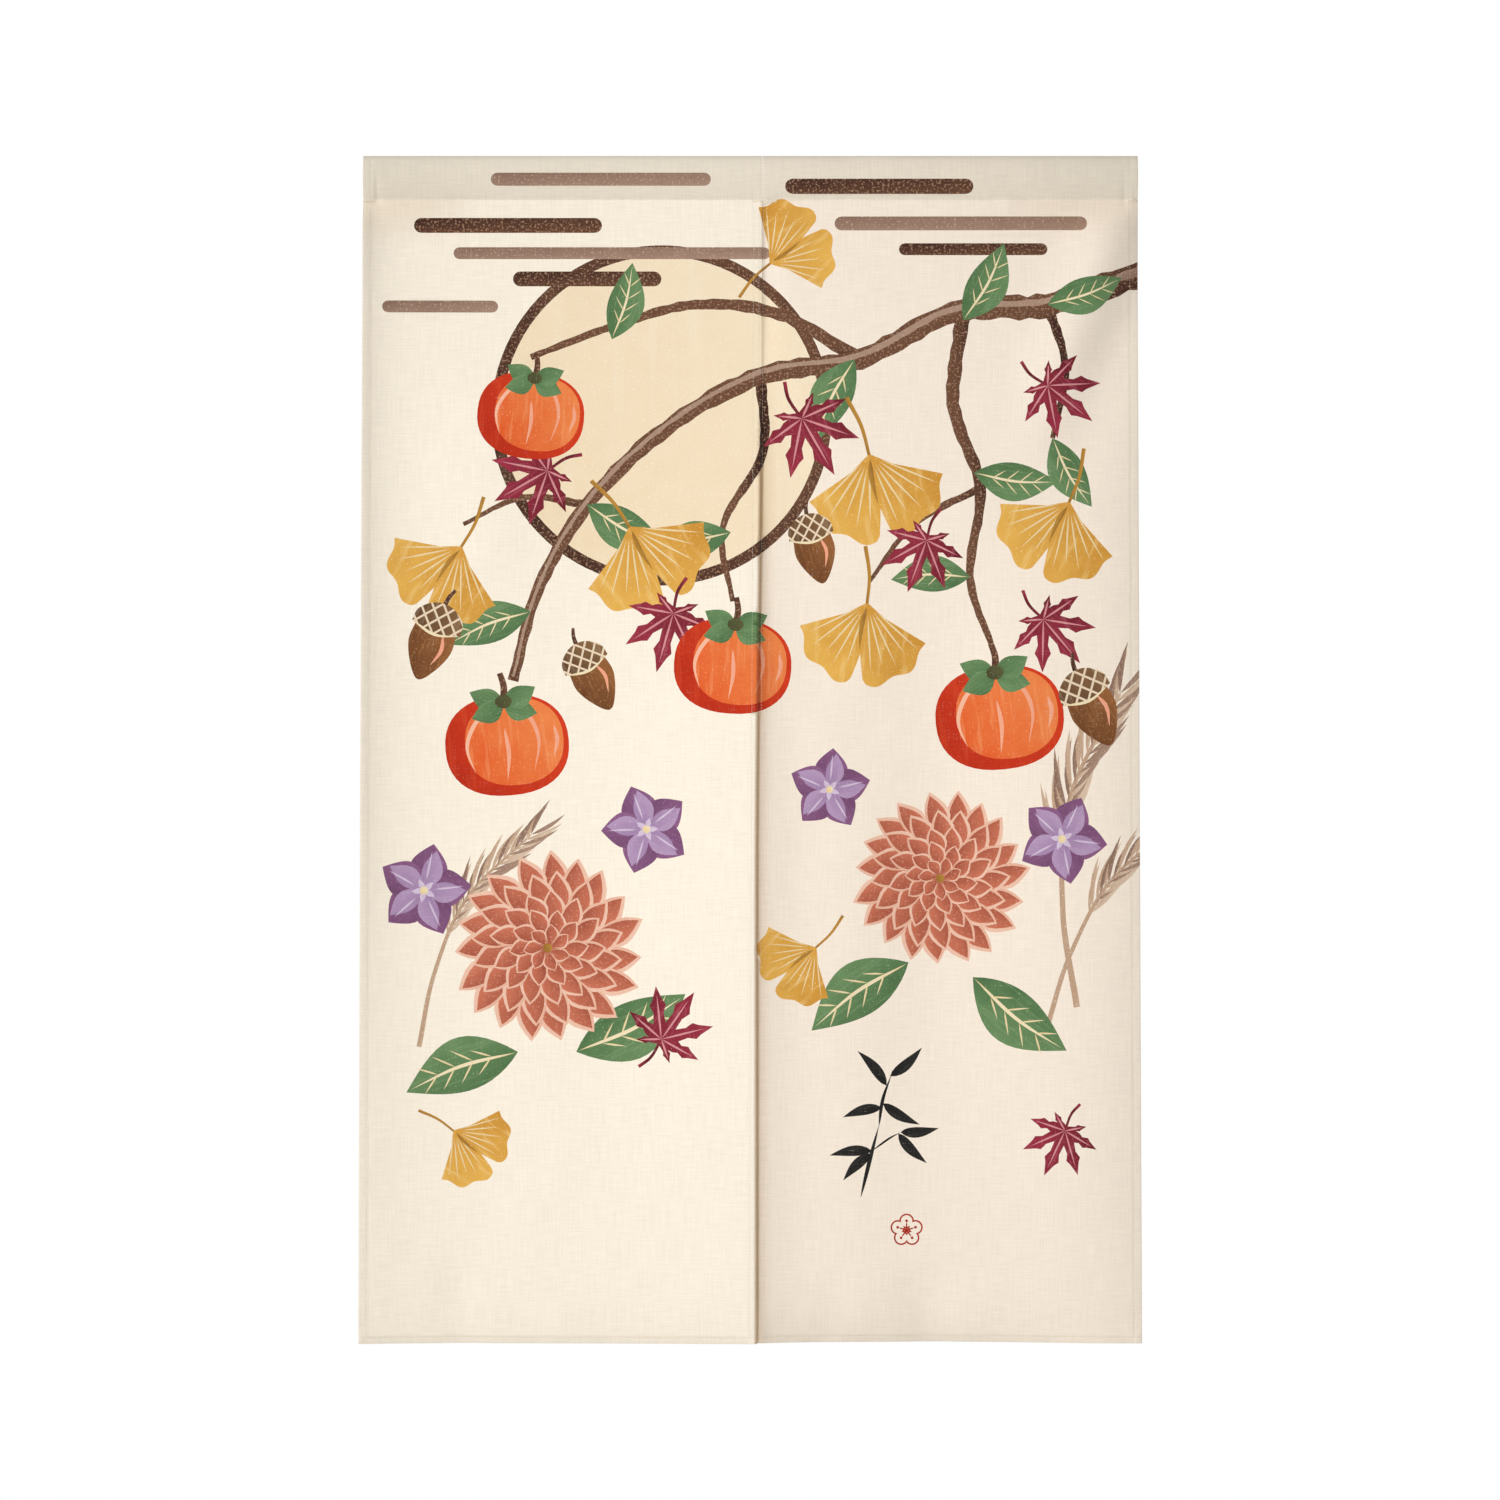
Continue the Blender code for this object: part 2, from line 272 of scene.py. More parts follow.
def sewn_relief(panel, x, v):
    """Forward rise of the small things that sewing does: dimples, puckers, bulk, round edges."""
    s = sizes()
    z = -np.abs(v)
    low, high = edges_x(panel, z)
    outer = x - low if panel == "left" else high - x
    inner = high - x if panel == "left" else x - low
    seed = 3 if panel == "left" else 11
    rise = 0.35 * MM * wander(x, 0.110, seed) * wander(z, 0.150, seed + 1)
    for edge, shift, pull in ((outer, 0, 0.16), (inner, 20, 0.05)):
        line = edge - STITCH_IN
        pucker = wander(z, 0.011, seed + 2 + shift) * hill(line, 5.5 * MM)
        rise += pull * MM * (pucker - hill(line, 1.1 * MM))
        rise -= ROUND_BACK * (1 - smooth(0.0, ROUND, edge)) ** 2
    below = z + s.drop
    line = below - STITCH_UP
    pucker = wander(x, 0.013, seed + 4) * hill(line, 6 * MM)
    rise += 0.16 * MM * (pucker - hill(line, 1.1 * MM))
    rise -= ROUND_BACK * (1 - smooth(0.0, ROUND, below)) ** 2
    rise += 0.7 * MM * hill(below - 4 * MM, 5 * MM) * hill(outer - 5 * MM, 6 * MM)
    line = z + s.pocket_drop
    pucker = wander(x, 0.016, seed + 5) * hill(line, 11 * MM)
    rise += 0.28 * MM * pucker - 0.42 * MM * hill(line, 1.3 * MM)
    bunch = hill(outer - 13.7 * MM, 1.8 * MM) * smooth(0.010, 0.030, -z)
    bunch *= 1 - smooth(0.040, 0.052, -z)
    rise -= (1.1 if panel == "left" else 0.3) * MM * bunch
    return rise


def hang(panel, x, v):
    """Where the cloth's outer face hangs: x across and v up the flat cloth, v over 0 behind."""
    s = sizes()
    z = -np.abs(v)
    turn = np.arccos(np.clip(1 - 2 * (z + s.pocket_drop) / s.pocket_drop, -1.0, 1.0))
    deepest = sin(DEEPEST) * sin(DEEPEST / 2)
    bulge = s.pocket_depth / 2 * np.sin(turn) * np.sin(turn / 2) / deepest
    pinch = np.cos(turn / 2) ** 2
    front = -s.solid / 2 * pinch - bulge
    back = (TAIL_BACK * s.thread - s.solid / 2) * pinch + bulge
    relief = sewn_relief(panel, x, v) * np.where(np.abs(v) < 4 * MM, np.abs(v) / (4 * MM), 1.0)
    fall = forward(panel, x, z) - tuck(panel, x, z)
    share = np.where(v < s.pocket_drop, 0.4, -1.0)
    y = np.where(v <= 0, front - relief - fall, back + share * relief - fall)
    return np.stack([x, y, z], axis=-1)


def outward(panel, x, v):
    """The unit direction out of the cloth's outer face."""
    step = 0.15 * MM
    across = hang(panel, x + step, v) - hang(panel, x - step, v)
    upward = hang(panel, x, v + step) - hang(panel, x, v - step)
    normal = np.cross(across, upward)
    return normal / np.linalg.norm(normal, axis=-1, keepdims=True)


def inward(panel, x, v):
    """The direction from the cloth's outer face to its inner one: straight back on the sheet."""
    sheet = smooth(0.0, 6 * MM, -sizes().pocket_drop - v)[..., None]
    return sheet * np.array([0.0, 1.0, 0.0]) - (1.0 - sheet) * outward(panel, x, v)


def layers(panel, x, v, whole=False):
    """How many layers of cloth lie on each other, fewer on a rounded rim unless whole."""
    s = sizes()
    z = -np.abs(v)
    low, high = edges_x(panel, z)
    outer = x - low if panel == "left" else high - x
    inner = high - x if panel == "left" else x - low
    turned = 0.6 * MM
    under = -s.pocket_drop - z
    side = 1 - smooth(s.side_hem, s.side_hem + turned, outer)
    slit = (1 - smooth(s.side_hem, s.side_hem + turned, inner)) * smooth(0, LAP_START, under)
    bottom = 1 - smooth(s.bottom_hem, s.bottom_hem + turned, z + s.drop)
    tail = np.where(v > 0, smooth(s.pocket_drop - 9 * MM, s.pocket_drop - 8.4 * MM, v), 0.0)
    hems = 2 * np.maximum(np.maximum(side, slit), bottom) + bottom * np.maximum(side, slit)
    if whole:
        return 1 + hems + tail
    rim = smooth(0.0, ROUND, np.minimum(np.minimum(outer, inner), z + s.drop))
    return (1 + hems + tail) * (0.35 + 0.65 * rim)


# The print, drawn in flat cloth coordinates: x across, z up, the top fold at 0

Shape = namedtuple("Shape", "ink outline origin along across")


def shape(ink, outline, origin=(0, 0), tip=(0, 1), half=0.5):
    """One flat area of ink. origin to tip is its own length, and half its half width."""
    origin = np.array(origin, float)
    run = np.array(tip, float) - origin
    size = np.hypot(*run)
    unit = run / size
    across = np.array([unit[1], -unit[0]]) / half
    outline = np.array(outline, float)
    x, z = outline.T
    if np.sum(x * np.roll(z, -1) - z * np.roll(x, -1)) < 0:
        outline = outline[::-1]
    return Shape(ink, outline, origin, unit / size, across)


def placed(shapes, x, z, size, turn):
    """A motif drawn at unit size, scaled, turned clockwise in degrees and set on the cloth."""
    a = radians(turn)
    matrix = np.array([[cos(a), -sin(a)], [sin(a), cos(a)]])
    spot = np.array([x, z])
    return [Shape(s.ink, s.outline @ matrix * size + spot, s.origin @ matrix * size + spot,
                  s.along @ matrix / size, s.across @ matrix / size) for s in shapes]


def through(points, steps=8):
    """A smooth line through a few points."""
    p = np.array(points, float)
    p = np.vstack([2 * p[0] - p[1], p, 2 * p[-1] - p[-2]])
    t = np.linspace(0, 1, steps, endpoint=False)[:, None]
    line = [0.5 * (2 * b + (c - a) * t + (2 * a - 5 * b + 4 * c - d) * t ** 2
                   + (3 * b - a - 3 * c + d) * t ** 3)
            for a, b, c, d in zip(p, p[1:], p[2:], p[3:])]
    return np.vstack(line + [p[-2:-1]])


def ribbon(ink, points, start, end, steps=8, knobs=0.0, seed=0):
    """A stroke along a smooth line, start wide at one end and end wide at the other."""
    line = through(points, steps)
    run = np.gradient(line, axis=0)
    side = np.column_stack([run[:, 1], -run[:, 0]]) / np.hypot(*run.T)[:, None]
    share = np.linspace(0, 1, len(line))
    wide = start + (end - start) * share
    uneven = np.random.default_rng(seed).uniform(-knobs, knobs, (2, len(line)))
    right = line + side * (wide / 2 * (1 + uneven[0]))[:, None]
    left = line - side * (wide / 2 * (1 + uneven[1]))[:, None]
    outline = np.vstack([right, left[::-1]])
    return shape(ink, outline, line[0], line[-1], max(start, end) / 2)


def stroke(ink, points, width, steps=6):
    """A brush stroke that swells in its middle and is pointed at both ends."""
    line = through(points, steps)
    run = np.gradient(line, axis=0)
    side = np.column_stack([run[:, 1], -run[:, 0]]) / np.hypot(*run.T)[:, None]
    wide = width * np.sin(pi * np.linspace(0, 1, len(line)) ** 0.8)[:, None]
    outline = np.vstack([line + side * wide / 2, (line - side * wide / 2)[-2:0:-1]])
    return shape(ink, outline, line[0], line[-1], width / 2)


def blade(ink, base, angle, reach, width, bend=0.0, full=0.85, points=9):
    """A pointed petal or leaf from base, at an angle in degrees clockwise from upright."""
    share = np.linspace(0, 1, points + 1)
    half = width / 2 * np.sin(pi * share ** full)
    middle = bend * reach * np.sin(pi * share)
    rows = np.column_stack([middle + half, share * reach])
    back = np.column_stack([middle - half, share * reach])[-2:0:-1]
    a = radians(angle)
    matrix = np.array([[cos(a), -sin(a)], [sin(a), cos(a)]])
    outline = np.vstack([rows, back]) @ matrix + np.array(base)
    return shape(ink, outline, base, np.array(base) + np.array([0, reach]) @ matrix, width / 2)


def disc(ink, x, z, wide, high=None, square=1.0, points=36, first=0.0):
    """A round, or with square under 1 a squarer, area."""
    a = np.linspace(0, 2 * pi, points, endpoint=False) + first
    c, s = np.cos(a), np.sin(a)
    high = high or wide
    outline = np.column_stack([x + wide * np.sign(c) * np.abs(c) ** square,
                               z + high * np.sign(s) * np.abs(s) ** square])
    return shape(ink, outline, (x, z - high), (x, z + high), wide)


def persimmon():
    """A round orange fruit with two tones, pale strokes, a four-part calyx and a stalk."""
    fruit = [disc("vermilion", 0, 0, 1.08, 0.88, 0.86, 44),
             disc("orange", 0.13, 0.05, 0.86, 0.76, 0.88, 40)]
    fruit += [stroke("peach", line, 0.075) for line in (
        [(-0.18, 0.66), (-0.52, 0.42), (-0.70, 0.00), (-0.58, -0.46)],
        [(0.16, 0.68), (0.44, 0.44), (0.56, 0.02), (0.44, -0.50)],
        [(0.84, 0.28), (0.88, 0.02), (0.80, -0.26)],
        [(-0.02, 0.30), (0.02, -0.15), (-0.04, -0.62)])]
    fruit.append(ribbon("bark", [(0, 0.74), (0.03, 1.02), (-0.02, 1.26)], 0.13, 0.10))
    for angle in (112, 68, -68, -112):
        fruit.append(blade("leaf", (0, 0.74), angle, 0.62, 0.40, 0.06 if angle > 0 else -0.06))
    fruit.append(disc("moss", 0, 0.76, 0.15, 0.12, points=14))
    return fruit


def ginkgo():
    """A fan-shaped gold leaf with a split rim, fine ribs and a long stalk."""
    angle = np.radians(np.linspace(-64, 64, 57))
    rim = 1 - 0.035 * np.cos(13 * angle) - 0.34 * hill(angle, 0.055) - 0.10 * np.abs(angle) ** 3
    edge = np.column_stack([rim * np.sin(angle), rim * np.cos(angle)])
    side = [(0.52, 0.27), (0.24, 0.15)]
    outline = np.vstack([[(-0.02, 0)], [(-x, z) for x, z in side[::-1]], edge, side, [(0.02, 0)]])
    fan = [ribbon("ochre", [(0.0, 0.06), (0.02, -0.34), (0.12, -0.70)], 0.035, 0.05),
           shape("gold", outline, (0, 0), (0, 1), 0.9)]
    for k, rib in enumerate((-56, -45, -33, -22, -11, 11, 22, 33, 45, 56)):
        reach = 0.86 - 0.07 * (k % 2)
        tip = (reach * sin(radians(rib)), reach * cos(radians(rib)))
        fan.append(stroke("straw", [(tip[0] * 0.16, tip[1] * 0.16), tip], 0.022, 5))
    fan.append(stroke("ochre", [(0.0, 0.05), (0.03, 0.28), (0.015, 0.58)], 0.06))
    return fan


Lobe = namedtuple("Lobe", "angle reach")
MAPLE_LOBES = (Lobe(-126, 0.44), Lobe(-84, 0.74), Lobe(-41, 0.93), Lobe(0, 1.0), Lobe(41, 0.93),
               Lobe(84, 0.74), Lobe(126, 0.44))


def maple(ink="wine", vein="rose"):
    """A seven-pointed leaf with toothed lobes, pale veins and a stalk."""
    points = []
    for k, lobe in enumerate(MAPLE_LOBES):
        if k:
            points.append(((MAPLE_LOBES[k - 1].angle + lobe.angle) / 2, 0.30))
        points += [(lobe.angle - 11, lobe.reach * 0.50), (lobe.angle - 13.5, lobe.reach * 0.66),
                   (lobe.angle - 7.5, lobe.reach * 0.74), (lobe.angle, lobe.reach),
                   (lobe.angle + 7.5, lobe.reach * 0.74), (lobe.angle + 13.5, lobe.reach * 0.66),
                   (lobe.angle + 11, lobe.reach * 0.50)]
    points.append((180, 0.10))
    outline = [(r * sin(radians(a)), r * cos(radians(a))) for a, r in points]
    leaf = [ribbon(ink, [(0, 0), (0.03, -0.35), (-0.05, -0.62)], 0.045, 0.06),
            shape(ink, outline, (0, -0.4), (0, 1.0), 0.9)]
    for lobe in MAPLE_LOBES:
        lean, reach = radians(lobe.angle), 0.84 * lobe.reach
        tip = (reach * sin(lean), reach * cos(lean))
        leaf.append(stroke(vein, [(0, 0.0), (tip[0] * 0.5, tip[1] * 0.5), tip], 0.035, 4))
    return leaf


def bellflower():
    """A five-petalled purple flower with lighter halves, pale middle strokes and a star."""
    flower = []
    for k in range(5):
        angle = 72 * k
        flower.append(blade("plum", (0, 0), angle, 1.0, 0.80, 0.0, 0.92, 12))
    for k in range(5):
        angle = 72 * k
        flower.append(blade("mauve", (0, 0), angle + 6, 0.88, 0.44, 0.05, 0.95, 9))
        out = (sin(radians(angle)), cos(radians(angle)))
        flower.append(stroke("lilac", [(out[0] * 0.22, out[1] * 0.22),
                                       (out[0] * 0.84, out[1] * 0.84)], 0.045, 5))
    for k in range(5):
        flower.append(blade("lilac", (0, 0), 72 * k + 36, 0.26, 0.12))
    flower.append(disc("straw", 0, 0, 0.085, points=12))
    return flower


Ring = namedtuple("Ring", "petals start reach width turn")
MUM_RINGS = (Ring(19, 0.34, 1.00, 0.25, 0), Ring(16, 0.24, 0.80, 0.23, 9),
             Ring(13, 0.16, 0.60, 0.20, 4), Ring(10, 0.08, 0.42, 0.17, 13),
             Ring(7, 0.02, 0.25, 0.13, 6))


def chrysanthemum():
    """A full terracotta flower: rings of curled petals, each with a pale rim."""
    flower = [disc("terracotta", 0, 0, 0.66)]
    draw = np.random.default_rng(5)
    for ring in MUM_RINGS:
        for k in range(ring.petals):
            angle = 360 * k / ring.petals + ring.turn + draw.uniform(-3, 3)
            reach = (ring.reach - ring.start) * draw.uniform(0.94, 1.04)
            base = (ring.start * sin(radians(angle)), ring.start * cos(radians(angle)))
            flower.append(blade("blush", base, angle, reach * 1.03, ring.width * 1.16, 0.10, 1.35))
            base = (base[0] * 0.93, base[1] * 0.93)
            flower.append(blade("terracotta", base, angle, reach, ring.width * 0.90, 0.10, 1.35))
    flower.append(disc("ochre", 0, 0, 0.05, points=10))
    return flower


def acorn():
    """A brown nut in a cross-hatched cup."""
    cap = through([(-0.46, 0.02), (-0.42, 0.26), (-0.16, 0.46), (0.16, 0.46), (0.42, 0.26),
                   (0.46, 0.02)], 5)
    rim = through([(0.46, 0.02), (0.0, -0.10), (-0.46, 0.02)], 6)[1:-1]
    nut = through([(-0.38, 0.04), (-0.40, -0.34), (-0.22, -0.74), (0, -0.96), (0.22, -0.74),
                   (0.40, -0.34), (0.38, 0.04)], 5)
    return [ribbon("bark", [(0, 0.42), (0.03, 0.62), (0.10, 0.78)], 0.09, 0.06),
            shape("chestnut", nut, (0, -0.96), (0, 0.1), 0.40),
            stroke("peach", [(0.16, -0.06), (0.22, -0.34), (0.12, -0.66)], 0.07),
            shape("basket", np.vstack([cap, rim]), (0, -0.1), (0, 0.9), 0.46),
            stroke("straw", [(-0.46, 0.02), (0.0, -0.10), (0.46, 0.02)], 0.05)]


def green_leaf(ink="leaf"):
    """A pointed leaf with a darker half, a pale midrib and side veins."""
    leaf = [blade(ink, (0, 0), 0, 1.0, 0.46, 0.06, 0.9, 14),
            stroke("straw", [(0.0, 0.02), (0.05, 0.5), (0.01, 0.96)], 0.030)]
    for share in (0.22, 0.38, 0.54, 0.70):
        for side in (-1, 1):
            start = (0.06 * sin(pi * share), share)
            tip = (start[0] + side * 0.155 * sin(pi * share ** 0.9), share + 0.16)
            leaf.append(stroke("straw", [start, tip], 0.016, 4))
    return leaf


def grass():
    """A bowed stem of silver grass with a feathery head."""
    stem = [(0, 0), (0.03, 0.30), (0.13, 0.62), (0.36, 0.90)]
    line = through(stem, 12)
    head = [ribbon("beige", stem, 0.020, 0.010, 12)]
    draw = np.random.default_rng(8)
    first = len(line) // 2
    for k in range(first, len(line)):
        run = line[k] - line[k - 1]
        heading = np.degrees(np.arctan2(run[0], run[1]))
        for side in (-1, 1):
            reach = 0.21 - 0.05 * (k - first) / (len(line) - first)
            angle = heading + side * (17 + draw.uniform(-6, 6))
            ink = "taupe" if draw.uniform() < 0.35 else "beige"
            head.append(blade(ink, tuple(line[k]), angle, reach, 0.017, 0.05 * side, points=5))
    return head


Leaf = namedtuple("Leaf", "x z angle reach")
SPRIG_LEAVES = (
    Leaf(0.08, 0.80, 40, 0.62), Leaf(0.05, 0.66, -48, 0.66), Leaf(0.03, 0.40, 112, 0.62),
    Leaf(0.02, 0.34, -112, 0.58), Leaf(0.34, 0.02, 76, 0.56), Leaf(0.31, 0.0, 128, 0.60),
    Leaf(-0.03, -0.30, -104, 0.62), Leaf(-0.04, -0.34, -142, 0.56),
)


def ink_sprig():
    """A brushed bamboo spray in black."""
    sprig = [stroke("sumi", [(-0.10, -1.0), (-0.04, -0.4), (0.02, 0.1)], 0.060),
             stroke("sumi", [(0.02, 0.06), (0.02, 0.45), (0.10, 0.85)], 0.050),
             stroke("sumi", [(-0.03, -0.30), (0.18, -0.10), (0.34, 0.02)], 0.030)]
    for leaf in SPRIG_LEAVES:
        sprig.append(blade("sumi", (leaf.x, leaf.z), leaf.angle, leaf.reach, 0.155, 0.05, 0.72))
    return sprig


def red_blossom():
    """A small five-petalled blossom in red outline."""
    places = [(0.55 * sin(radians(72 * k)), 0.55 * cos(radians(72 * k))) for k in range(5)]
    blossom = [disc("red", x, z, 0.44, points=20) for x, z in places]
    blossom += [disc("bare", x, z, 0.345, points=18) for x, z in places]
    blossom += [stroke("red", [(x * 0.18, z * 0.18), (x * 0.95, z * 0.95)], 0.09, 4)
                for x, z in places]
    blossom += [disc("red", x * 1.02, z * 1.02, 0.085, points=9) for x, z in places]
    blossom.append(disc("red", 0, 0, 0.13, points=12))
    return blossom


def bar(ink, low, high, z, tall):
    """A horizontal haze bar with round ends."""
    a = np.linspace(-pi / 2, pi / 2, 9)
    right = np.column_stack([high - tall / 2 + tall / 2 * np.cos(a), z + tall / 2 * np.sin(a)])
    left = np.column_stack([low + tall / 2 - tall / 2 * np.cos(a), z - tall / 2 * np.sin(a)])
    return shape(ink, np.vstack([right, left]), (low, z), (high, z), tall / 2)


MOTIFS = {"persimmon": persimmon, "ginkgo": ginkgo, "maple": maple, "bellflower": bellflower,
          "chrysanthemum": chrysanthemum, "acorn": acorn, "green leaf": green_leaf, "grass": grass,
          "ink sprig": ink_sprig, "red blossom": red_blossom}

Bar = namedtuple("Bar", "ink low high z tall")
HAZE = (
    Bar("taupe", -0.262, -0.040, -0.024, 0.013), Bar("bark", 0.035, 0.225, -0.031, 0.015),
    Bar("bark", -0.340, -0.150, -0.070, 0.015), Bar("taupe", -0.300, 0.020, -0.098, 0.012),
    Bar("bark", -0.240, -0.090, -0.124, 0.015), Bar("taupe", 0.085, 0.340, -0.068, 0.014),
    Bar("bark", 0.150, 0.300, -0.094, 0.012), Bar("taupe", -0.372, -0.255, -0.152, 0.012),
)
Moon = namedtuple("Moon", "x z reach ring")
MOON = Moon(-0.090, -0.262, 0.172, 0.011)

Branch = namedtuple("Branch", "start end points")
BRANCHES = (
    Branch(0.026, 0.010, ((0.398, -0.118), (0.300, -0.150), (0.205, -0.158), (0.110, -0.205),
                          (0.010, -0.222), (-0.085, -0.275), (-0.165, -0.352), (-0.215, -0.440),
                          (-0.240, -0.530))),
    Branch(0.014, 0.006, ((0.110, -0.205), (0.030, -0.160), (-0.055, -0.150), (-0.140, -0.172),
                          (-0.222, -0.203))),
    Branch(0.015, 0.006, ((0.215, -0.160), (0.205, -0.250), (0.232, -0.335), (0.222, -0.425),
                          (0.246, -0.500))),
    Branch(0.011, 0.005, ((0.010, -0.222), (0.012, -0.300), (-0.028, -0.375), (-0.018, -0.450))),
    Branch(0.010, 0.005, ((0.300, -0.150), (0.318, -0.215), (0.305, -0.285))),
    Branch(0.008, 0.004, ((-0.165, -0.352), (-0.230, -0.345), (-0.290, -0.372))),
    Branch(0.008, 0.004, ((0.232, -0.335), (0.165, -0.372), (0.120, -0.430))),
)

Motif = namedtuple("Motif", "kind x z size turn")
PLACES = (
    Motif("grass", 0.330, -0.860, 0.330, -14), Motif("grass", 0.300, -0.880, 0.260, 12),
    Motif("grass", -0.335, -0.900, 0.250, 6),
    Motif("green leaf", 0.215, -0.166, 0.088, 28), Motif("green leaf", 0.105, -0.205, 0.092, 205),
    Motif("green leaf", -0.140, -0.185, 0.080, 15), Motif("green leaf", 0.226, -0.320, 0.085, 96),
    Motif("green leaf", -0.165, -0.352, 0.090, 118),
    Motif("green leaf", -0.222, -0.460, 0.090, 248),
    Motif("green leaf", -0.020, -0.380, 0.085, 250), Motif("green leaf", 0.305, -0.285, 0.080, 150),
    Motif("green leaf", 0.222, -0.425, 0.080, 268), Motif("green leaf", 0.300, -0.150, 0.080, 70),
    Motif("ginkgo", 0.120, -0.302, 0.088, 168), Motif("ginkgo", 0.322, -0.350, 0.080, 205),
    Motif("ginkgo", -0.122, -0.375, 0.086, 150), Motif("ginkgo", -0.292, -0.395, 0.078, 214),
    Motif("ginkgo", 0.118, -0.452, 0.082, 188), Motif("ginkgo", 0.020, -0.108, 0.066, 52),
    Motif("maple", 0.052, -0.265, 0.066, 150), Motif("maple", 0.300, -0.232, 0.058, 128),
    Motif("maple", -0.205, -0.318, 0.062, 240), Motif("maple", 0.178, -0.388, 0.056, 200),
    Motif("maple", -0.078, -0.462, 0.062, 196), Motif("maple", 0.296, -0.468, 0.058, 140),
    Motif("persimmon", -0.222, -0.262, 0.050, 6), Motif("persimmon", -0.246, -0.595, 0.058, -5),
    Motif("persimmon", -0.018, -0.515, 0.055, 4), Motif("persimmon", 0.252, -0.567, 0.060, -6),
    Motif("acorn", -0.318, -0.478, 0.056, 20), Motif("acorn", 0.062, -0.385, 0.050, -14),
    Motif("acorn", 0.340, -0.545, 0.058, -26), Motif("acorn", -0.165, -0.515, 0.052, -28),
    Motif("green leaf", -0.176, -0.905, 0.125, 62), Motif("green leaf", -0.235, -0.905, 0.120, 250),
    Motif("green leaf", 0.160, -0.815, 0.120, 235), Motif("green leaf", 0.225, -0.830, 0.120, 128),
    Motif("chrysanthemum", -0.205, -0.800, 0.096, 0),
    Motif("chrysanthemum", 0.192, -0.730, 0.088, 10),
    Motif("bellflower", -0.330, -0.742, 0.048, 12), Motif("bellflower", -0.105, -0.680, 0.046, -20),
    Motif("bellflower", 0.315, -0.690, 0.046, 25), Motif("bellflower", 0.080, -0.640, 0.042, 5),
    Motif("maple", -0.090, -0.892, 0.058, 35), Motif("maple", 0.318, -0.985, 0.050, 205),
    Motif("ginkgo", -0.300, -0.985, 0.058, 130), Motif("ginkgo", 0.066, -0.800, 0.060, 230),
    Motif("ink sprig", 0.128, -0.985, 0.070, 8), Motif("red blossom", 0.158, -1.086, 0.017, 0),
)


def whole_print():
    """Every area of ink, first painted first."""
    moon = MOON
    shapes = [disc("bark", moon.x, moon.z, moon.reach, points=90),
              disc("wash", moon.x, moon.z, moon.reach - moon.ring, points=84)]
    shapes += [bar(*row) for row in HAZE]
    for k, branch in enumerate(reversed(BRANCHES)):
        shapes.append(ribbon("bark", branch.points, branch.start, branch.end, 10, 0.16, k))
    main = BRANCHES[0]
    lit = [(x, z + 0.004) for x, z in main.points]
    shapes.append(ribbon("taupe", lit, main.start * 0.30, main.end * 0.25, 10, 0.3, 40))
    for motif in PLACES:
        shapes += placed(MOTIFS[motif.kind](), motif.x, motif.z, motif.size, motif.turn)
    return shapes


# The inks. light and deep are the two ends of an ink's own shading, fleck is what is spattered
# through it, flecks is how much of it, rough streaks the brush left, and hatch cross-hatches it.
Ink = namedtuple("Ink", "name light deep fleck flecks streak hatch")
INKS = (
    Ink("bare", "FDF2E0", "FDF2E0", "FDF2E0", 0.0, 0.0, 0),
    Ink("wash", "F8E6C8", "F1DAB6", "FDF2E0", 0.25, 0.3, 0),
    Ink("bark", "6A4530", "3A1C10", "A98468", 0.55, 0.2, 0),
    Ink("taupe", "A98A76", "8A6B5A", "C9AE98", 0.35, 0.3, 0),
    Ink("vermilion", "D93A12", "B62400", "E0552C", 0.12, 0.5, 0),
    Ink("orange", "F08A4A", "E2591F", "F6A26C", 0.15, 0.8, 0),
    Ink("peach", "F6B99A", "F2A382", "F9D2BC", 0.10, 0.2, 0),
    Ink("gold", "EDB957", "C98A2C", "F4D088", 0.15, 0.9, 0),
    Ink("ochre", "B98632", "8C5F20", "CDA055", 0.20, 0.4, 0),
    Ink("straw", "F2E0B8", "E4C88E", "F8EED4", 0.10, 0.3, 0),
    Ink("beige", "D9BFA6", "BE9C80", "E9D8C4", 0.25, 0.5, 0),
    Ink("wine", "A83048", "5E0C18", "C06070", 0.12, 0.7, 0),
    Ink("rose", "DE9A9C", "CB7C82", "EBBDBB", 0.10, 0.2, 0),
    Ink("plum", "8E5C86", "6F4468", "A57FA0", 0.10, 0.5, 0),
    Ink("mauve", "B89ABD", "9A7AA2", "CBB4CE", 0.12, 0.6, 0),
    Ink("lilac", "DCCBDD", "C8B2CC", "ECE0EC", 0.08, 0.2, 0),
    Ink("terracotta", "CB7256", "8E3A24", "D99078", 0.35, 0.5, 0),
    Ink("blush", "F0C4AC", "E2A88C", "F6DCCB", 0.15, 0.2, 0),
    Ink("leaf", "6F9160", "44683E", "8FAA7C", 0.15, 0.6, 0),
    Ink("moss", "5A5A34", "3E4024", "7C7A50", 0.20, 0.4, 0),
    Ink("chestnut", "9A6234", "5E3416", "B98452", 0.25, 0.6, 0),
    Ink("basket", "8F6A44", "5F4026", "E9D3B6", 0.0, 0.3, 1),
    Ink("sumi", "23211F", "0E0D0D", "4A4642", 0.10, 0.9, 0),
    Ink("red", "B5301C", "9C2010", "C8563F", 0.15, 0.3, 0),
)
INK_SLOT = {ink.name: k for k, ink in enumerate(INKS)}


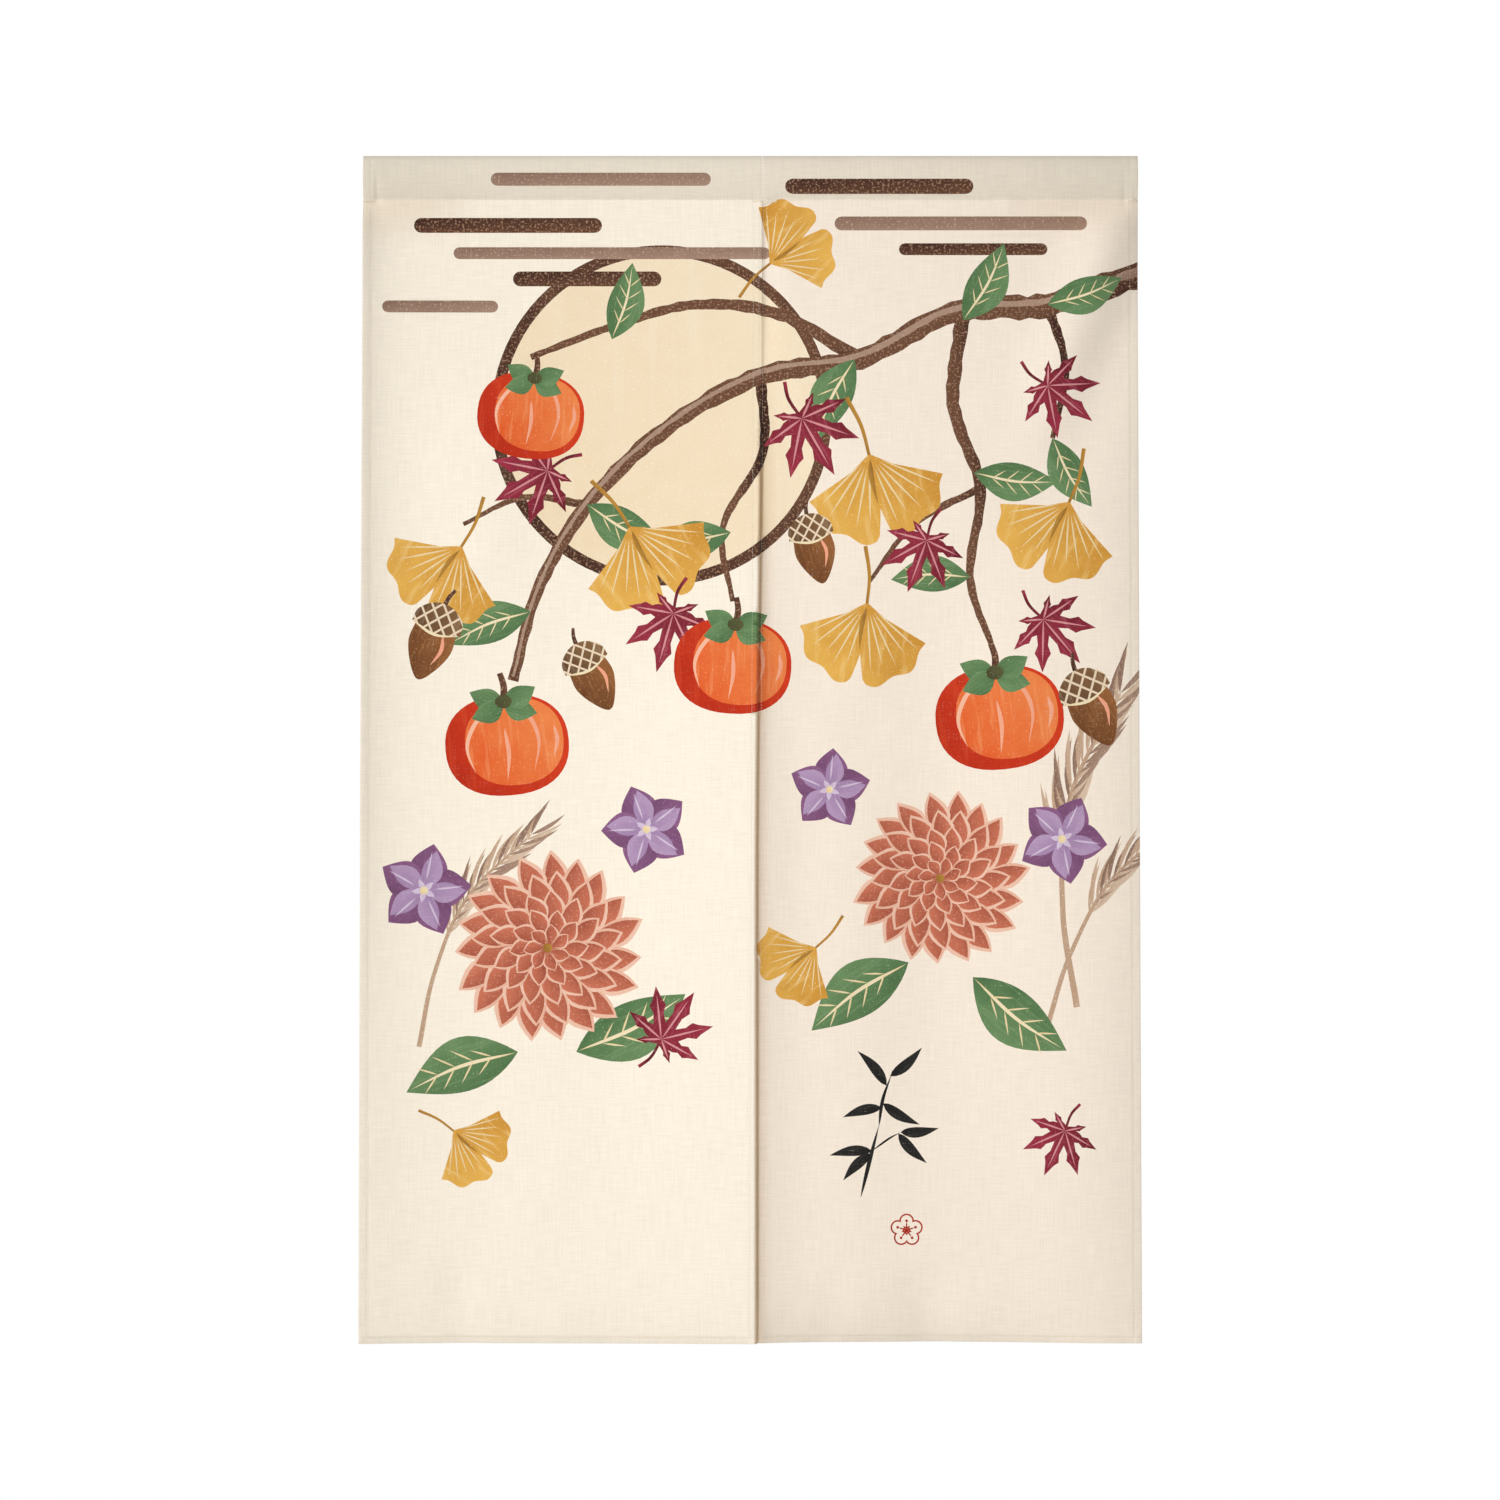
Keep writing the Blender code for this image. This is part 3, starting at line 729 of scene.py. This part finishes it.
def add_node(tree, kind, settings=None, **links):
    """Adds a node, sets its properties and sockets, and links other nodes' outputs to it."""
    node = tree.nodes.new("ShaderNode" + kind)
    for name, value in (settings or {}).items():
        if isinstance(name, str) and hasattr(node, name) and name not in node.inputs:
            setattr(node, name, value)
        else:
            node.inputs[name].default_value = value
    for name, source in links.items():
        key = int(name[1:]) if name[1:].isdigit() and name[0] == "i" else name.replace("_", " ")
        tree.links.new(source, node.inputs[key])
    return node


def new_material(name, roughness, sheen=0.0):
    material = bpy.data.materials.new(name)
    material.use_nodes = True
    shader = material.node_tree.nodes["Principled BSDF"]
    shader.inputs["Roughness"].default_value = roughness
    shader.inputs["Specular IOR Level"].default_value = 0.25
    shader.inputs["Sheen Weight"].default_value = sheen
    shader.inputs["Sheen Roughness"].default_value = 0.6
    return material, material.node_tree, shader


def feed(tree, socket, value):
    """Links a node's socket to another node's output, or sets it to a plain value."""
    if isinstance(value, bpy.types.NodeSocket):
        tree.links.new(value, socket)
    else:
        socket.default_value = value


def mixed(tree, factor, first, second, blend="MIX"):
    """The colour output of a mix of two colours, each a socket or an RGBA value."""
    node = add_node(tree, "Mix", {"data_type": "RGBA", "blend_type": blend})
    for k, value in ((0, factor), (6, first), (7, second)):
        feed(tree, node.inputs[k], value)
    return node.outputs[2]


def calc(tree, operation, first, second=0.0, clamp=False):
    """The output of a sum on two values, each a socket or a number."""
    node = add_node(tree, "Math", {"operation": operation, "use_clamp": clamp})
    for socket, value in zip(node.inputs, (first, second)):
        feed(tree, socket, value)
    return node.outputs[0]


def weave(tree):
    """Plain linen-look weave: slubby warp and weft threads. Returns tone (about 0.5) and height.

    The real threads are 0.45 mm apart. They are drawn 0.9 mm apart, and the slubs, which are
    thick places 10 to 60 mm long in single threads, 1.6 mm wide, so that they show in a picture
    of the whole curtain.
    """
    flat = add_node(tree, "UVMap", {"uv_map": "cloth"})
    tones = []
    for wide, long, turned in ((1.3, 34.0, False), (1.2, 24.0, True)):
        fine, coarse = 1 / (wide * MM), 1 / (long * MM)
        scale = (coarse, fine, 1) if turned else (fine, coarse, 1)
        place = add_node(tree, "Mapping", {"Scale": scale}, Vector=flat.outputs[0])
        slub = add_node(tree, "TexNoise", {"noise_dimensions": "2D", "Scale": 1.0, "Detail": 2.0,
                                           "Roughness": 0.6}, Vector=place.outputs[0])
        tones.append(slub.outputs["Fac"])
    slubs = calc(tree, "MULTIPLY", calc(tree, "ADD", tones[0], tones[1]), 0.5)
    threads = []
    for direction in "XY":
        wave = add_node(tree, "TexWave", {"wave_type": "BANDS", "bands_direction": direction,
                                          "wave_profile": "SIN", "Scale": 2 * pi / (0.9 * MM) / 20,
                                          "Distortion": 0.6, "Detail": 1.0, "Detail Scale": 0.4},
                        Vector=flat.outputs[0])
        threads.append(wave.outputs["Fac"])
    over = calc(tree, "MAXIMUM", threads[0], threads[1])
    height = calc(tree, "ADD", calc(tree, "MULTIPLY", over, 0.35), slubs)
    return slubs, height


def cloth_ground(tree, slubs):
    """Unprinted cloth: greyer where it lies double and a little darker on the right panel, both
    painted shade, with paler and darker slubs; the right panel is also pinker.
    """
    colours = bpy.context.scene.noren_print
    # the right panel's tint: pinker, and darker as painted shade
    panel = add_node(tree, "Attribute", {"attribute_name": "right_panel"})
    ground = mixed(tree, panel.outputs["Fac"], (*colours.ground, 1), (*colours.ground_right, 1))
    # painted shade where the cloth lies double
    doubled_shade = add_node(tree, "Attribute", {"attribute_name": "doubled_shade"})
    ground = mixed(tree, doubled_shade.outputs["Fac"], ground, (*colours.doubled_shade, 1))
    tone = add_node(tree, "MapRange", {"From Min": 0.30, "From Max": 0.70, "To Min": 0.928,
                                       "To Max": 1.042}, Value=slubs).outputs[0]
    grey = add_node(tree, "CombineColor", {}, Red=tone, Green=tone, Blue=tone)
    return mixed(tree, 1.0, ground, grey.outputs[0], "MULTIPLY")


def with_painted_shade(tree, colour):
    """Painted shade: darker cloth along the slit, in the left panel's shadow on the right one, and
    under the pocket's outer ends.
    """
    soil = add_node(tree, "Attribute", {"attribute_name": "painted_shade"})
    tone = (*bpy.context.scene.noren_print.painted_shade, 1)
    return mixed(tree, soil.outputs["Fac"], colour, mixed(tree, 1.0, colour, tone, "MULTIPLY"))


def ink_material(ink):
    """Pigment printed on polyester-linen plain weave: matt, a little broken by the threads."""
    material, tree, shader = new_material("printed_linen_" + ink.name, 0.88, 0.08)
    slubs, height = weave(tree)
    ground = cloth_ground(tree, slubs)
    bump = add_node(tree, "Bump", {"Strength": 0.30, "Distance": 0.00030}, Height=height)
    tree.links.new(bump.outputs[0], shader.inputs["Normal"])
    if ink.name == "bare":
        tree.links.new(with_painted_shade(tree, ground), shader.inputs["Base Color"])
        return material
    own = add_node(tree, "UVMap", {"uv_map": "motif"})
    flat = add_node(tree, "UVMap", {"uv_map": "cloth"})
    parts = add_node(tree, "SeparateXYZ", {}, Vector=own.outputs[0])
    mottle = add_node(tree, "TexNoise", {"noise_dimensions": "2D", "Scale": 1 / (22 * MM),
                                         "Detail": 3.0}, Vector=flat.outputs[0])
    across = calc(tree, "MULTIPLY", parts.outputs[1], -0.30)
    along = calc(tree, "MULTIPLY", parts.outputs[0], -0.35)
    shade = calc(tree, "ADD", calc(tree, "ADD", across, along), 0.42)
    uneven = calc(tree, "MULTIPLY", mottle.outputs["Fac"], 0.55)
    shade = calc(tree, "ADD", shade, uneven, clamp=True)
    colour = mixed(tree, shade, (*linear(ink.light), 1), (*linear(ink.deep), 1))
    if ink.streak:
        brush = add_node(tree, "Mapping", {"Scale": (1.6, 9.0, 1)}, Vector=own.outputs[0])
        hairs = add_node(tree, "TexNoise", {"noise_dimensions": "2D", "Scale": 1.0, "Detail": 2.0},
                         Vector=brush.outputs[0])
        edge = add_node(tree, "MapRange", {"From Min": 0.56, "From Max": 0.70, "To Min": 0.0,
                                           "To Max": 0.45 * ink.streak}, Value=hairs.outputs["Fac"])
        colour = mixed(tree, edge.outputs[0], colour, (*linear(ink.fleck), 1))
    if ink.flecks:
        spots = add_node(tree, "TexNoise", {"noise_dimensions": "2D", "Scale": 1 / (2.6 * MM),
                                            "Detail": 2.0, "Roughness": 0.7},
                         Vector=flat.outputs[0])
        start = 0.70 - 0.22 * ink.flecks
        spatter = add_node(tree, "MapRange", {"From Min": start, "From Max": start + 0.06,
                                              "To Min": 0.0, "To Max": 0.85},
                           Value=spots.outputs["Fac"])
        colour = mixed(tree, spatter.outputs[0], colour, (*linear(ink.fleck), 1))
    if ink.hatch:
        for lean in (1, -1):
            slant = calc(tree, "ADD", calc(tree, "MULTIPLY", parts.outputs[0], 3.0 * lean),
                         calc(tree, "MULTIPLY", parts.outputs[1], 1.6))
            wave = calc(tree, "FRACT", calc(tree, "MULTIPLY", slant, 1.15))
            line = calc(tree, "GREATER_THAN", wave, 0.80)
            colour = mixed(tree, line, colour, (*linear(ink.fleck), 1))
    strength = add_node(tree, "Attribute", {"attribute_name": "strength"})
    broken = add_node(tree, "MapRange", {"From Min": 0.62, "From Max": 0.78, "To Min": 1.0,
                                         "To Max": 0.72}, Value=slubs)
    cover = calc(tree, "MULTIPLY", strength.outputs["Fac"], broken.outputs[0])
    # painted shade over the printed colour
    printed = with_painted_shade(tree, mixed(tree, cover, ground, colour))
    tree.links.new(printed, shader.inputs["Base Color"])
    return material


def thread_material():
    """Spun polyester sewing thread: two plies, a little more sheen than the cloth."""
    material, tree, shader = new_material("sewing_thread", 0.62, 0.15)
    place = add_node(tree, "TexCoord")
    ply = add_node(tree, "TexNoise", {"Scale": 1 / (0.8 * MM), "Detail": 1.0},
                   Vector=place.outputs["Object"])
    colour = (*bpy.context.scene.noren_print.sewing, 1)
    dark = tuple(c * 0.80 for c in colour[:3]) + (1,)
    tree.links.new(mixed(tree, ply.outputs["Fac"], colour, dark), shader.inputs["Base Color"])
    bump = add_node(tree, "Bump", {"Strength": 0.4, "Distance": 0.0001}, Height=ply.outputs["Fac"])
    tree.links.new(bump.outputs[0], shader.inputs["Normal"])
    return material


def shared_material(name, make):
    return bpy.data.materials.get(name) or make()


# The cloth's mesh

def spaced(low, high, cell):
    """Even steps of about cell from low to high, both left out."""
    count = max(1, round((high - low) / cell))
    return [low + (high - low) * k / count for k in range(1, count)]


def flat_points(panel):
    """The flat cloth's points, row by row from the bottom edge, over the fold, to the back."""
    s = sizes()
    hem = [0, 0.5, 1.1, 1.8, 2.6, 3.4, 4.8, 6.2, 6.8, 7.4, 8.0, 8.8, 1000 * s.side_hem]
    hem = np.array(hem + [1000 * s.side_hem + 0.6, 12.1, 13.4, 14.7, 16.4]) * MM
    foot = [0, 0.5, 1.1, 1.9, 2.9, 5.3, 6.6, 7.5, 1000 * s.bottom_hem,
            1000 * s.bottom_hem + 0.6, 11.5]
    rise = [-s.drop + e * MM for e in foot]
    seam = [-s.pocket_drop + e * MM for e in (-9.0, -6.0, -LAP_START / MM, -1.3, 0.0, 1.3, 3.2)]
    turns = np.linspace(0.40, pi, 20)
    over = [s.pocket_drop * ((1 - cos(t)) / 2 - 1) for t in turns]
    back = [-v for v in reversed(over[:-1])]
    ends = [s.pocket_drop + e * MM for e in (-9.0, -8.4, -5.0, -3.2, -1.3, 0.0, 1.0, 2.0)]
    back = [v for v in back if v < ends[0] - 0.5 * MM]
    over = [v for v in over if v > seam[-1] + 0.5 * MM]
    rows = rise + spaced(rise[-1], seam[0], s.cell) + seam + over + back + ends
    grid = []
    for v in rows:
        low, high = (float(e) for e in edges_x(panel, -abs(v)))
        middle = np.linspace(low + hem[-1], high - hem[-1], round(0.38 / s.cell) + 1)[1:-1]
        grid.append([(x, v) for x in np.concatenate([low + hem, middle, (high - hem)[::-1]])])
    return np.array(grid), len(hem) - 4, len(foot) - 1


def cut_cloth(panel, shapes):
    """The flat cloth as triangles cut along the print. Returns points, triangles and top shapes."""
    grid, hem, foot = flat_points(panel)
    rows, columns = grid.shape[:2]
    points = [Vector(p) for p in grid.reshape(-1, 2)]

    def at(row, column):
        return row * columns + column

    rim = [at(0, c) for c in range(columns)] + [at(r, columns - 1) for r in range(1, rows)]
    rim += [at(rows - 1, c) for c in range(columns - 2, -1, -1)]
    rim += [at(r, 0) for r in range(rows - 2, 0, -1)]
    lines = []
    for c in (hem - 2, hem - 1, columns - hem, columns - hem + 1):
        lines += [(at(r, c), at(r + 1, c)) for r in range(rows - 1)]
    for r in (foot - 2, foot - 1):
        lines += [(at(r, c), at(r, c + 1)) for c in range(columns - 1)]
    low, high = grid[..., 0].min(), grid[..., 0].max()
    faces, kept = [rim], [None]
    for shape in shapes:
        if shape.outline[:, 0].max() > low and shape.outline[:, 0].min() < high:
            faces.append(range(len(points), len(points) + len(shape.outline)))
            points += [Vector(p) for p in shape.outline]
            kept.append(shape)
    spots, _, tris, _, _, owners = delaunay_2d_cdt(points, lines, faces, 1, 1e-6, True)
    inside = [(tri, max(own)) for tri, own in zip(tris, owners) if 0 in own]
    tris = np.array([tri for tri, _ in inside])
    used, tris = np.unique(tris, return_inverse=True)
    spots = np.array([tuple(p) for p in spots])[used]
    return spots, tris.reshape(-1, 3), [kept[top] for _, top in inside]


def own_places(corners, tops):
    """Each face corner's place along and across the area of ink that it lies in."""
    places = np.zeros((len(tops), 3, 2))
    for k, top in enumerate(tops):
        if top is not None:
            offset = corners[k] - top.origin
            places[k, :, 0] = offset @ top.along
            places[k, :, 1] = offset @ top.across
    return places


def cloth_piece(name, panel):
    """One panel of cloth: outer face, inner face one or more layers behind it, and its edges."""
    spots, tris, tops = cut_cloth(panel, whole_print())
    x, v = spots.T
    outer = hang(panel, x, v)
    stack = layers(panel, x, v)
    inner = outer + inward(panel, x, v) * (stack * sizes().thread)[:, None]
    count = len(spots)
    sides = np.concatenate([tris[:, [0, 1]], tris[:, [1, 2]], tris[:, [2, 0]]])
    keys = np.sort(sides, axis=1)
    _, first, seen = np.unique(keys, axis=0, return_index=True, return_counts=True)
    rim = sides[first[seen == 1]]
    edge = np.column_stack([rim[:, 1], rim[:, 0], rim[:, 0] + count, rim[:, 1] + count])
    faces = tris.tolist() + (tris[:, ::-1] + count).tolist() + edge.tolist()
    mesh = bpy.data.meshes.new(name)
    mesh.from_pydata(np.concatenate([outer, inner]).tolist(), [], faces)
    flat = np.concatenate([spots, spots])
    loops = np.empty(len(mesh.loops), int)
    mesh.loops.foreach_get("vertex_index", loops)
    mesh.uv_layers.new(name="cloth").uv.foreach_set("vector", flat[loops].ravel())
    places = own_places(spots[tris], tops)
    places = np.concatenate([places.reshape(-1, 2), places[:, ::-1].reshape(-1, 2),
                             np.zeros((4 * len(edge), 2))])
    mesh.uv_layers.new(name="motif").uv.foreach_set("vector", places.ravel())
    ghost = bpy.context.scene.noren_print.ghost
    # doubled_shade is painted shade: greyer on the hems, less so beside the slit, and over the
    # pocket
    doubled_shade = np.clip((layers(panel, x, v, whole=True) - 1) / 2, 0, 1)
    low, high = edges_x(panel, -np.abs(v))
    slit = high - x if panel == "left" else x - low
    doubled_shade = doubled_shade * np.where((slit < 12 * MM) & (v < -sizes().pocket_drop), 0.25, 1.0)
    # painted shade over the whole pocket, strongest towards the panel's outer end
    pocket = smooth(-sizes().pocket_drop - 0.4 * MM, -sizes().pocket_drop + 0.4 * MM, v)
    outer = x - low if panel == "left" else high - x
    pocket = pocket * (1.0 - 0.20 * smooth(0.03, 0.15, outer))
    doubled_shade = np.maximum(doubled_shade * 0.32, pocket)
    side = np.full(count, float(panel == "right"))
    # painted_shade is painted shade: the left panel's curled edge, the right panel's groove behind
    # it, and a fading strip of the left panel's shadow beside it
    opened = smooth(sizes().slit_start, SLIT_OPEN, -v)
    if panel == "left":
        painted_shade = opened * (1.0 - smooth(0.4 * MM, CURL_RUN, slit))
    else:
        groove = 1.0 - smooth(GROOVE_EDGE, GROOVE_OUT + 0.8 * MM, slit)
        painted_shade = opened * np.maximum(groove, 0.34 * (1.0 - smooth(GROOVE_OUT, 0.022, slit)))
    # pocket_end_shade: painted shade on the cloth just under the pocket's outer ends
    pocket_end_shade = 1.0 - smooth(0.0, 0.055, -sizes().pocket_drop - v)
    start, end = (0.05, 0.13) if panel == "left" else (0.09, 0.16)
    pocket_end_shade *= 1.0 - smooth(start, end, outer)
    pocket_end_shade = np.where(v < -sizes().pocket_drop, pocket_end_shade, 0.0)
    painted_shade = np.maximum(painted_shade, (0.32 if panel == "left" else 0.22) * pocket_end_shade)
    for label, front, behind in (("strength", np.ones(count), np.full(count, ghost)),
                                 ("doubled_shade", doubled_shade, doubled_shade),
                                 ("painted_shade", painted_shade, painted_shade),
                                 ("right_panel", side, side)):
        field = mesh.attributes.new(label, "FLOAT", "POINT")
        field.data.foreach_set("value", np.concatenate([front, behind]))
    slots = [INK_SLOT[top.ink] if top else 0 for top in tops]
    mesh.polygons.foreach_set("material_index", slots + slots + [0] * len(edge))
    for ink in INKS:
        mesh.materials.append(shared_material("printed_linen_" + ink.name,
                                              lambda: ink_material(ink)))
    mesh.shade_smooth()
    mesh.set_sharp_from_angle(angle=radians(50))
    mesh.validate()
    piece = bpy.data.objects.new(name, mesh)
    bpy.context.collection.objects.link(piece)
    return piece


# Sewing

def one_stitch():
    """A lockstitch seen from one side: a short, slightly flattened bead of thread."""
    bpy.ops.object.select_all(action="DESELECT")
    bpy.ops.mesh.primitive_uv_sphere_add(segments=6, ring_count=4, radius=0.5)
    bead = bpy.context.object
    bpy.ops.object.mode_set(mode="EDIT")
    bpy.ops.mesh.select_all(action="SELECT")
    bpy.ops.transform.resize(value=(0.44 * MM, 0.34 * MM, 2.35 * MM))
    bpy.ops.object.mode_set(mode="OBJECT")
    corners = np.array([v.co for v in bead.data.vertices])
    faces = [tuple(p.vertices) for p in bead.data.polygons]
    mesh = bead.data
    bpy.data.objects.remove(bead)
    bpy.data.meshes.remove(mesh)
    return corners, faces


def stitch_row(panel, start, end, pitch=3.2 * MM):
    """Middles and directions of a row of stitches between two places of the flat cloth."""
    start, end = np.array(start), np.array(end)
    run = end - start
    count = int(np.hypot(*run) / pitch)
    share = (np.arange(count) + 0.5) / count
    return [(panel, *(start + run * k), *(run / np.hypot(*run))) for k in share]


def sew(name, rows, both_faces=True):
    """One mesh of all the stitches in these rows, on the outer face and on the back."""
    corners, faces = one_stitch()
    points, polygons = [], []
    for side in ("left", "right"):
        chosen = np.array([row[1:] for row in rows if row[0] == side])
        if not len(chosen):
            continue
        x, v, dx, dv = chosen.T
        middle = hang(side, x, v)
        normal, back = outward(side, x, v), inward(side, x, v)
        step = 0.5 * MM
        run = hang(side, x + dx * step, v + dv * step) - hang(side, x - dx * step, v - dv * step)
        run /= np.linalg.norm(run, axis=1, keepdims=True)
        across = np.cross(normal, run)
        depth = layers(side, x, v) * sizes().thread
        for face in ((1, -1) if both_faces else (1,)):
            if face == 1:
                seat = middle + normal * 0.05 * MM
            else:
                seat = middle + back * (depth + 0.05 * MM)[:, None]
            for m, a, n, r in zip(seat, across, normal, run):
                base = len(points) * len(corners)
                points.append(m + corners @ np.array([a, n, r]))
                polygons += [tuple(base + k for k in bead) for bead in faces]
    mesh = bpy.data.meshes.new(name)
    mesh.from_pydata(np.concatenate(points).tolist(), [], polygons)
    mesh.materials.append(shared_material("sewing_thread", thread_material))
    mesh.shade_smooth()
    piece = bpy.data.objects.new(name, mesh)
    bpy.context.collection.objects.link(piece)
    return piece


def hem_rows(panel):
    """The stitch rows of one panel: pocket, side hems and bottom hem."""
    s = sizes()
    rows = []
    under = -s.pocket_drop - LAP_FULL
    foot = -s.drop + STITCH_UP
    pocket = -s.pocket_drop
    low, high = (float(e) for e in edges_x(panel, pocket))
    rows += stitch_row(panel, (low + 1 * MM, pocket), (high - 1 * MM, pocket))
    for side in (0, 1):
        inward = STITCH_IN if side == 0 else -STITCH_IN
        top, bottom = float(edges_x(panel, under)[side]), float(edges_x(panel, foot)[side])
        rows += stitch_row(panel, (top + inward, under), (bottom + inward, foot))
    low, high = (float(e) for e in edges_x(panel, foot))
    rows += stitch_row(panel, (low + 2 * MM, foot), (high - 2 * MM, foot))
    return rows


def seam_rows():
    """The centre seam above the slit."""
    s = sizes()
    ends = (-s.pocket_drop - LAP_FULL, -s.slit_start)
    return stitch_row("left", *((float(slit_x(z)) - SEAM_IN, z) for z in ends), 2.8 * MM)


def finish_piece(piece):
    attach(piece, "root")


class NOREN_OT_left_panel(bpy.types.Operator):
    """Hang the left panel, which laps over the right one"""

    bl_idname = "noren.left_panel"
    bl_label = "Left panel"

    def execute(self, context):
        piece = cloth_piece("left_cloth", "left")
        finish_piece(piece)
        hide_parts("panel_left")
        return {"FINISHED"}


class NOREN_OT_right_panel(bpy.types.Operator):
    """Hang the right panel, which passes behind the left one"""

    bl_idname = "noren.right_panel"
    bl_label = "Right panel"

    def execute(self, context):
        piece = cloth_piece("right_cloth", "right")
        finish_piece(piece)
        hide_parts("panel_right")
        return {"FINISHED"}


class NOREN_OT_sewing(bpy.types.Operator):
    bl_idname = "noren.sewing"
    bl_label = "Sewing"

    def execute(self, context):
        seam = sew("seam_stitches", seam_rows(), both_faces=False)
        finish_piece(seam)
        for panel in ("left", "right"):
            row = sew(panel + "_stitches", hem_rows(panel))
            finish_piece(row)
        return {"FINISHED"}


class NOREN_OT_stage(bpy.types.Operator):
    """Add the floor, the soft light and the camera"""

    bl_idname = "noren.stage"
    bl_label = "Stage"

    def execute(self, context):
        make_floor()
        make_light()
        make_camera()
        return {"FINISHED"}


def make_floor():
    stage = bpy.context.scene.noren_stage
    bpy.ops.object.select_all(action="DESELECT")
    bpy.ops.mesh.primitive_plane_add(size=8.0, location=(0, 0, -stage.floor_drop))
    floor = bpy.context.object
    floor.name = "floor"
    bpy.ops.object.transform_apply(location=True)
    material, tree, shader = new_material("painted_floor", 0.7)
    place = add_node(tree, "TexCoord")
    cloud = add_node(tree, "TexNoise", {"Scale": 0.8, "Detail": 3.0},
                     Vector=place.outputs["Object"])
    colour = mixed(tree, cloud.outputs["Fac"], (*linear("F0EFEC"), 1), (*linear("E8E6E2"), 1))
    tree.links.new(colour, shader.inputs["Base Color"])
    floor.data.materials.append(material)


def aimed(thing, place, target):
    thing.location = place
    thing.rotation_euler = (Vector(target) - Vector(place)).to_track_quat("-Z", "Y").to_euler()


def make_light():
    """White surroundings, soft lights at the upper left and behind, and a weak one in front."""
    stage = bpy.context.scene.noren_stage
    world = bpy.data.worlds.new("white_room")
    bpy.context.scene.world = world
    world.use_nodes = True
    tree = world.node_tree
    back = tree.nodes["Background"]
    path = add_node(tree, "LightPath")
    room = calc(tree, "MAXIMUM", path.outputs["Is Camera Ray"], stage.ambient)
    tree.links.new(room, back.inputs["Strength"])
    back.inputs["Color"].default_value = (1, 1, 1, 1)
    soft_light("key", stage.key_power, 2.0, 2.0, (-5.2, -3.0, 3.2), (0, 0, -0.6))
    soft_light("front", stage.front_power, 0.8, 2.1, (0, -1.1, -0.60), (0, 0, -0.60))
    soft_light("rear", stage.rear_power, 2.0, 2.0, (3.5, 4.5, 1.5), (0, 0, -0.6))


def soft_light(name, power, wide, tall, place, target):
    light = bpy.data.lights.new(name, "AREA")
    light.energy = power
    light.shape = "RECTANGLE"
    light.size = wide
    light.size_y = tall
    lamp = bpy.data.objects.new(name, light)
    bpy.context.collection.objects.link(lamp)
    aimed(lamp, place, target)


def make_camera():
    """Straight on, level and from far off, so that the cloth's edges stay parallel."""
    stage = bpy.context.scene.noren_stage
    lens = bpy.data.cameras.new("front")
    lens.sensor_width = 36.0
    lens.lens = lens.sensor_width * stage.distance / stage.view_height
    camera = bpy.data.objects.new("front", lens)
    bpy.context.collection.objects.link(camera)
    camera.location = (-0.0005, -stage.distance, -stage.view_drop)
    camera.rotation_euler = (radians(90), 0, 0)
    bpy.context.scene.camera = camera
    bpy.context.scene.view_settings.view_transform = "Standard"


class NOREN_PT_sidebar(bpy.types.Panel):
    """Sizes, colours and steps of the noren"""

    bl_label = "Noren"
    bl_idname = "NOREN_PT_sidebar"
    bl_space_type = "VIEW_3D"
    bl_region_type = "UI"
    bl_category = "Noren"

    def draw(self, context):
        scene = context.scene
        for group in (scene.noren_cloth, scene.noren_print, scene.noren_stage):
            box = self.layout.box()
            for name in group.__annotations__:
                box.prop(group, name)
        for step in STEPS:
            self.layout.operator(step.bl_idname)


GROUPS = {"noren_cloth": NorenCloth, "noren_print": NorenPrint, "noren_stage": NorenStage}
STEPS = (NOREN_OT_left_panel, NOREN_OT_right_panel, NOREN_OT_sewing, NOREN_OT_stage)


def register():
    for kind in (*GROUPS.values(), *STEPS, NOREN_PT_sidebar):
        bpy.utils.register_class(kind)
    for name, kind in GROUPS.items():
        setattr(bpy.types.Scene, name, bpy.props.PointerProperty(type=kind))


def unregister():
    for name in GROUPS:
        delattr(bpy.types.Scene, name)
    for kind in (NOREN_PT_sidebar, *reversed(STEPS), *reversed(GROUPS.values())):
        bpy.utils.unregister_class(kind)


def main():
    register()
    bpy.ops.noren.left_panel()
    bpy.ops.noren.right_panel()
    bpy.ops.noren.sewing()
    bpy.ops.noren.stage()
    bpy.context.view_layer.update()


if __name__ == "__main__":
    main()
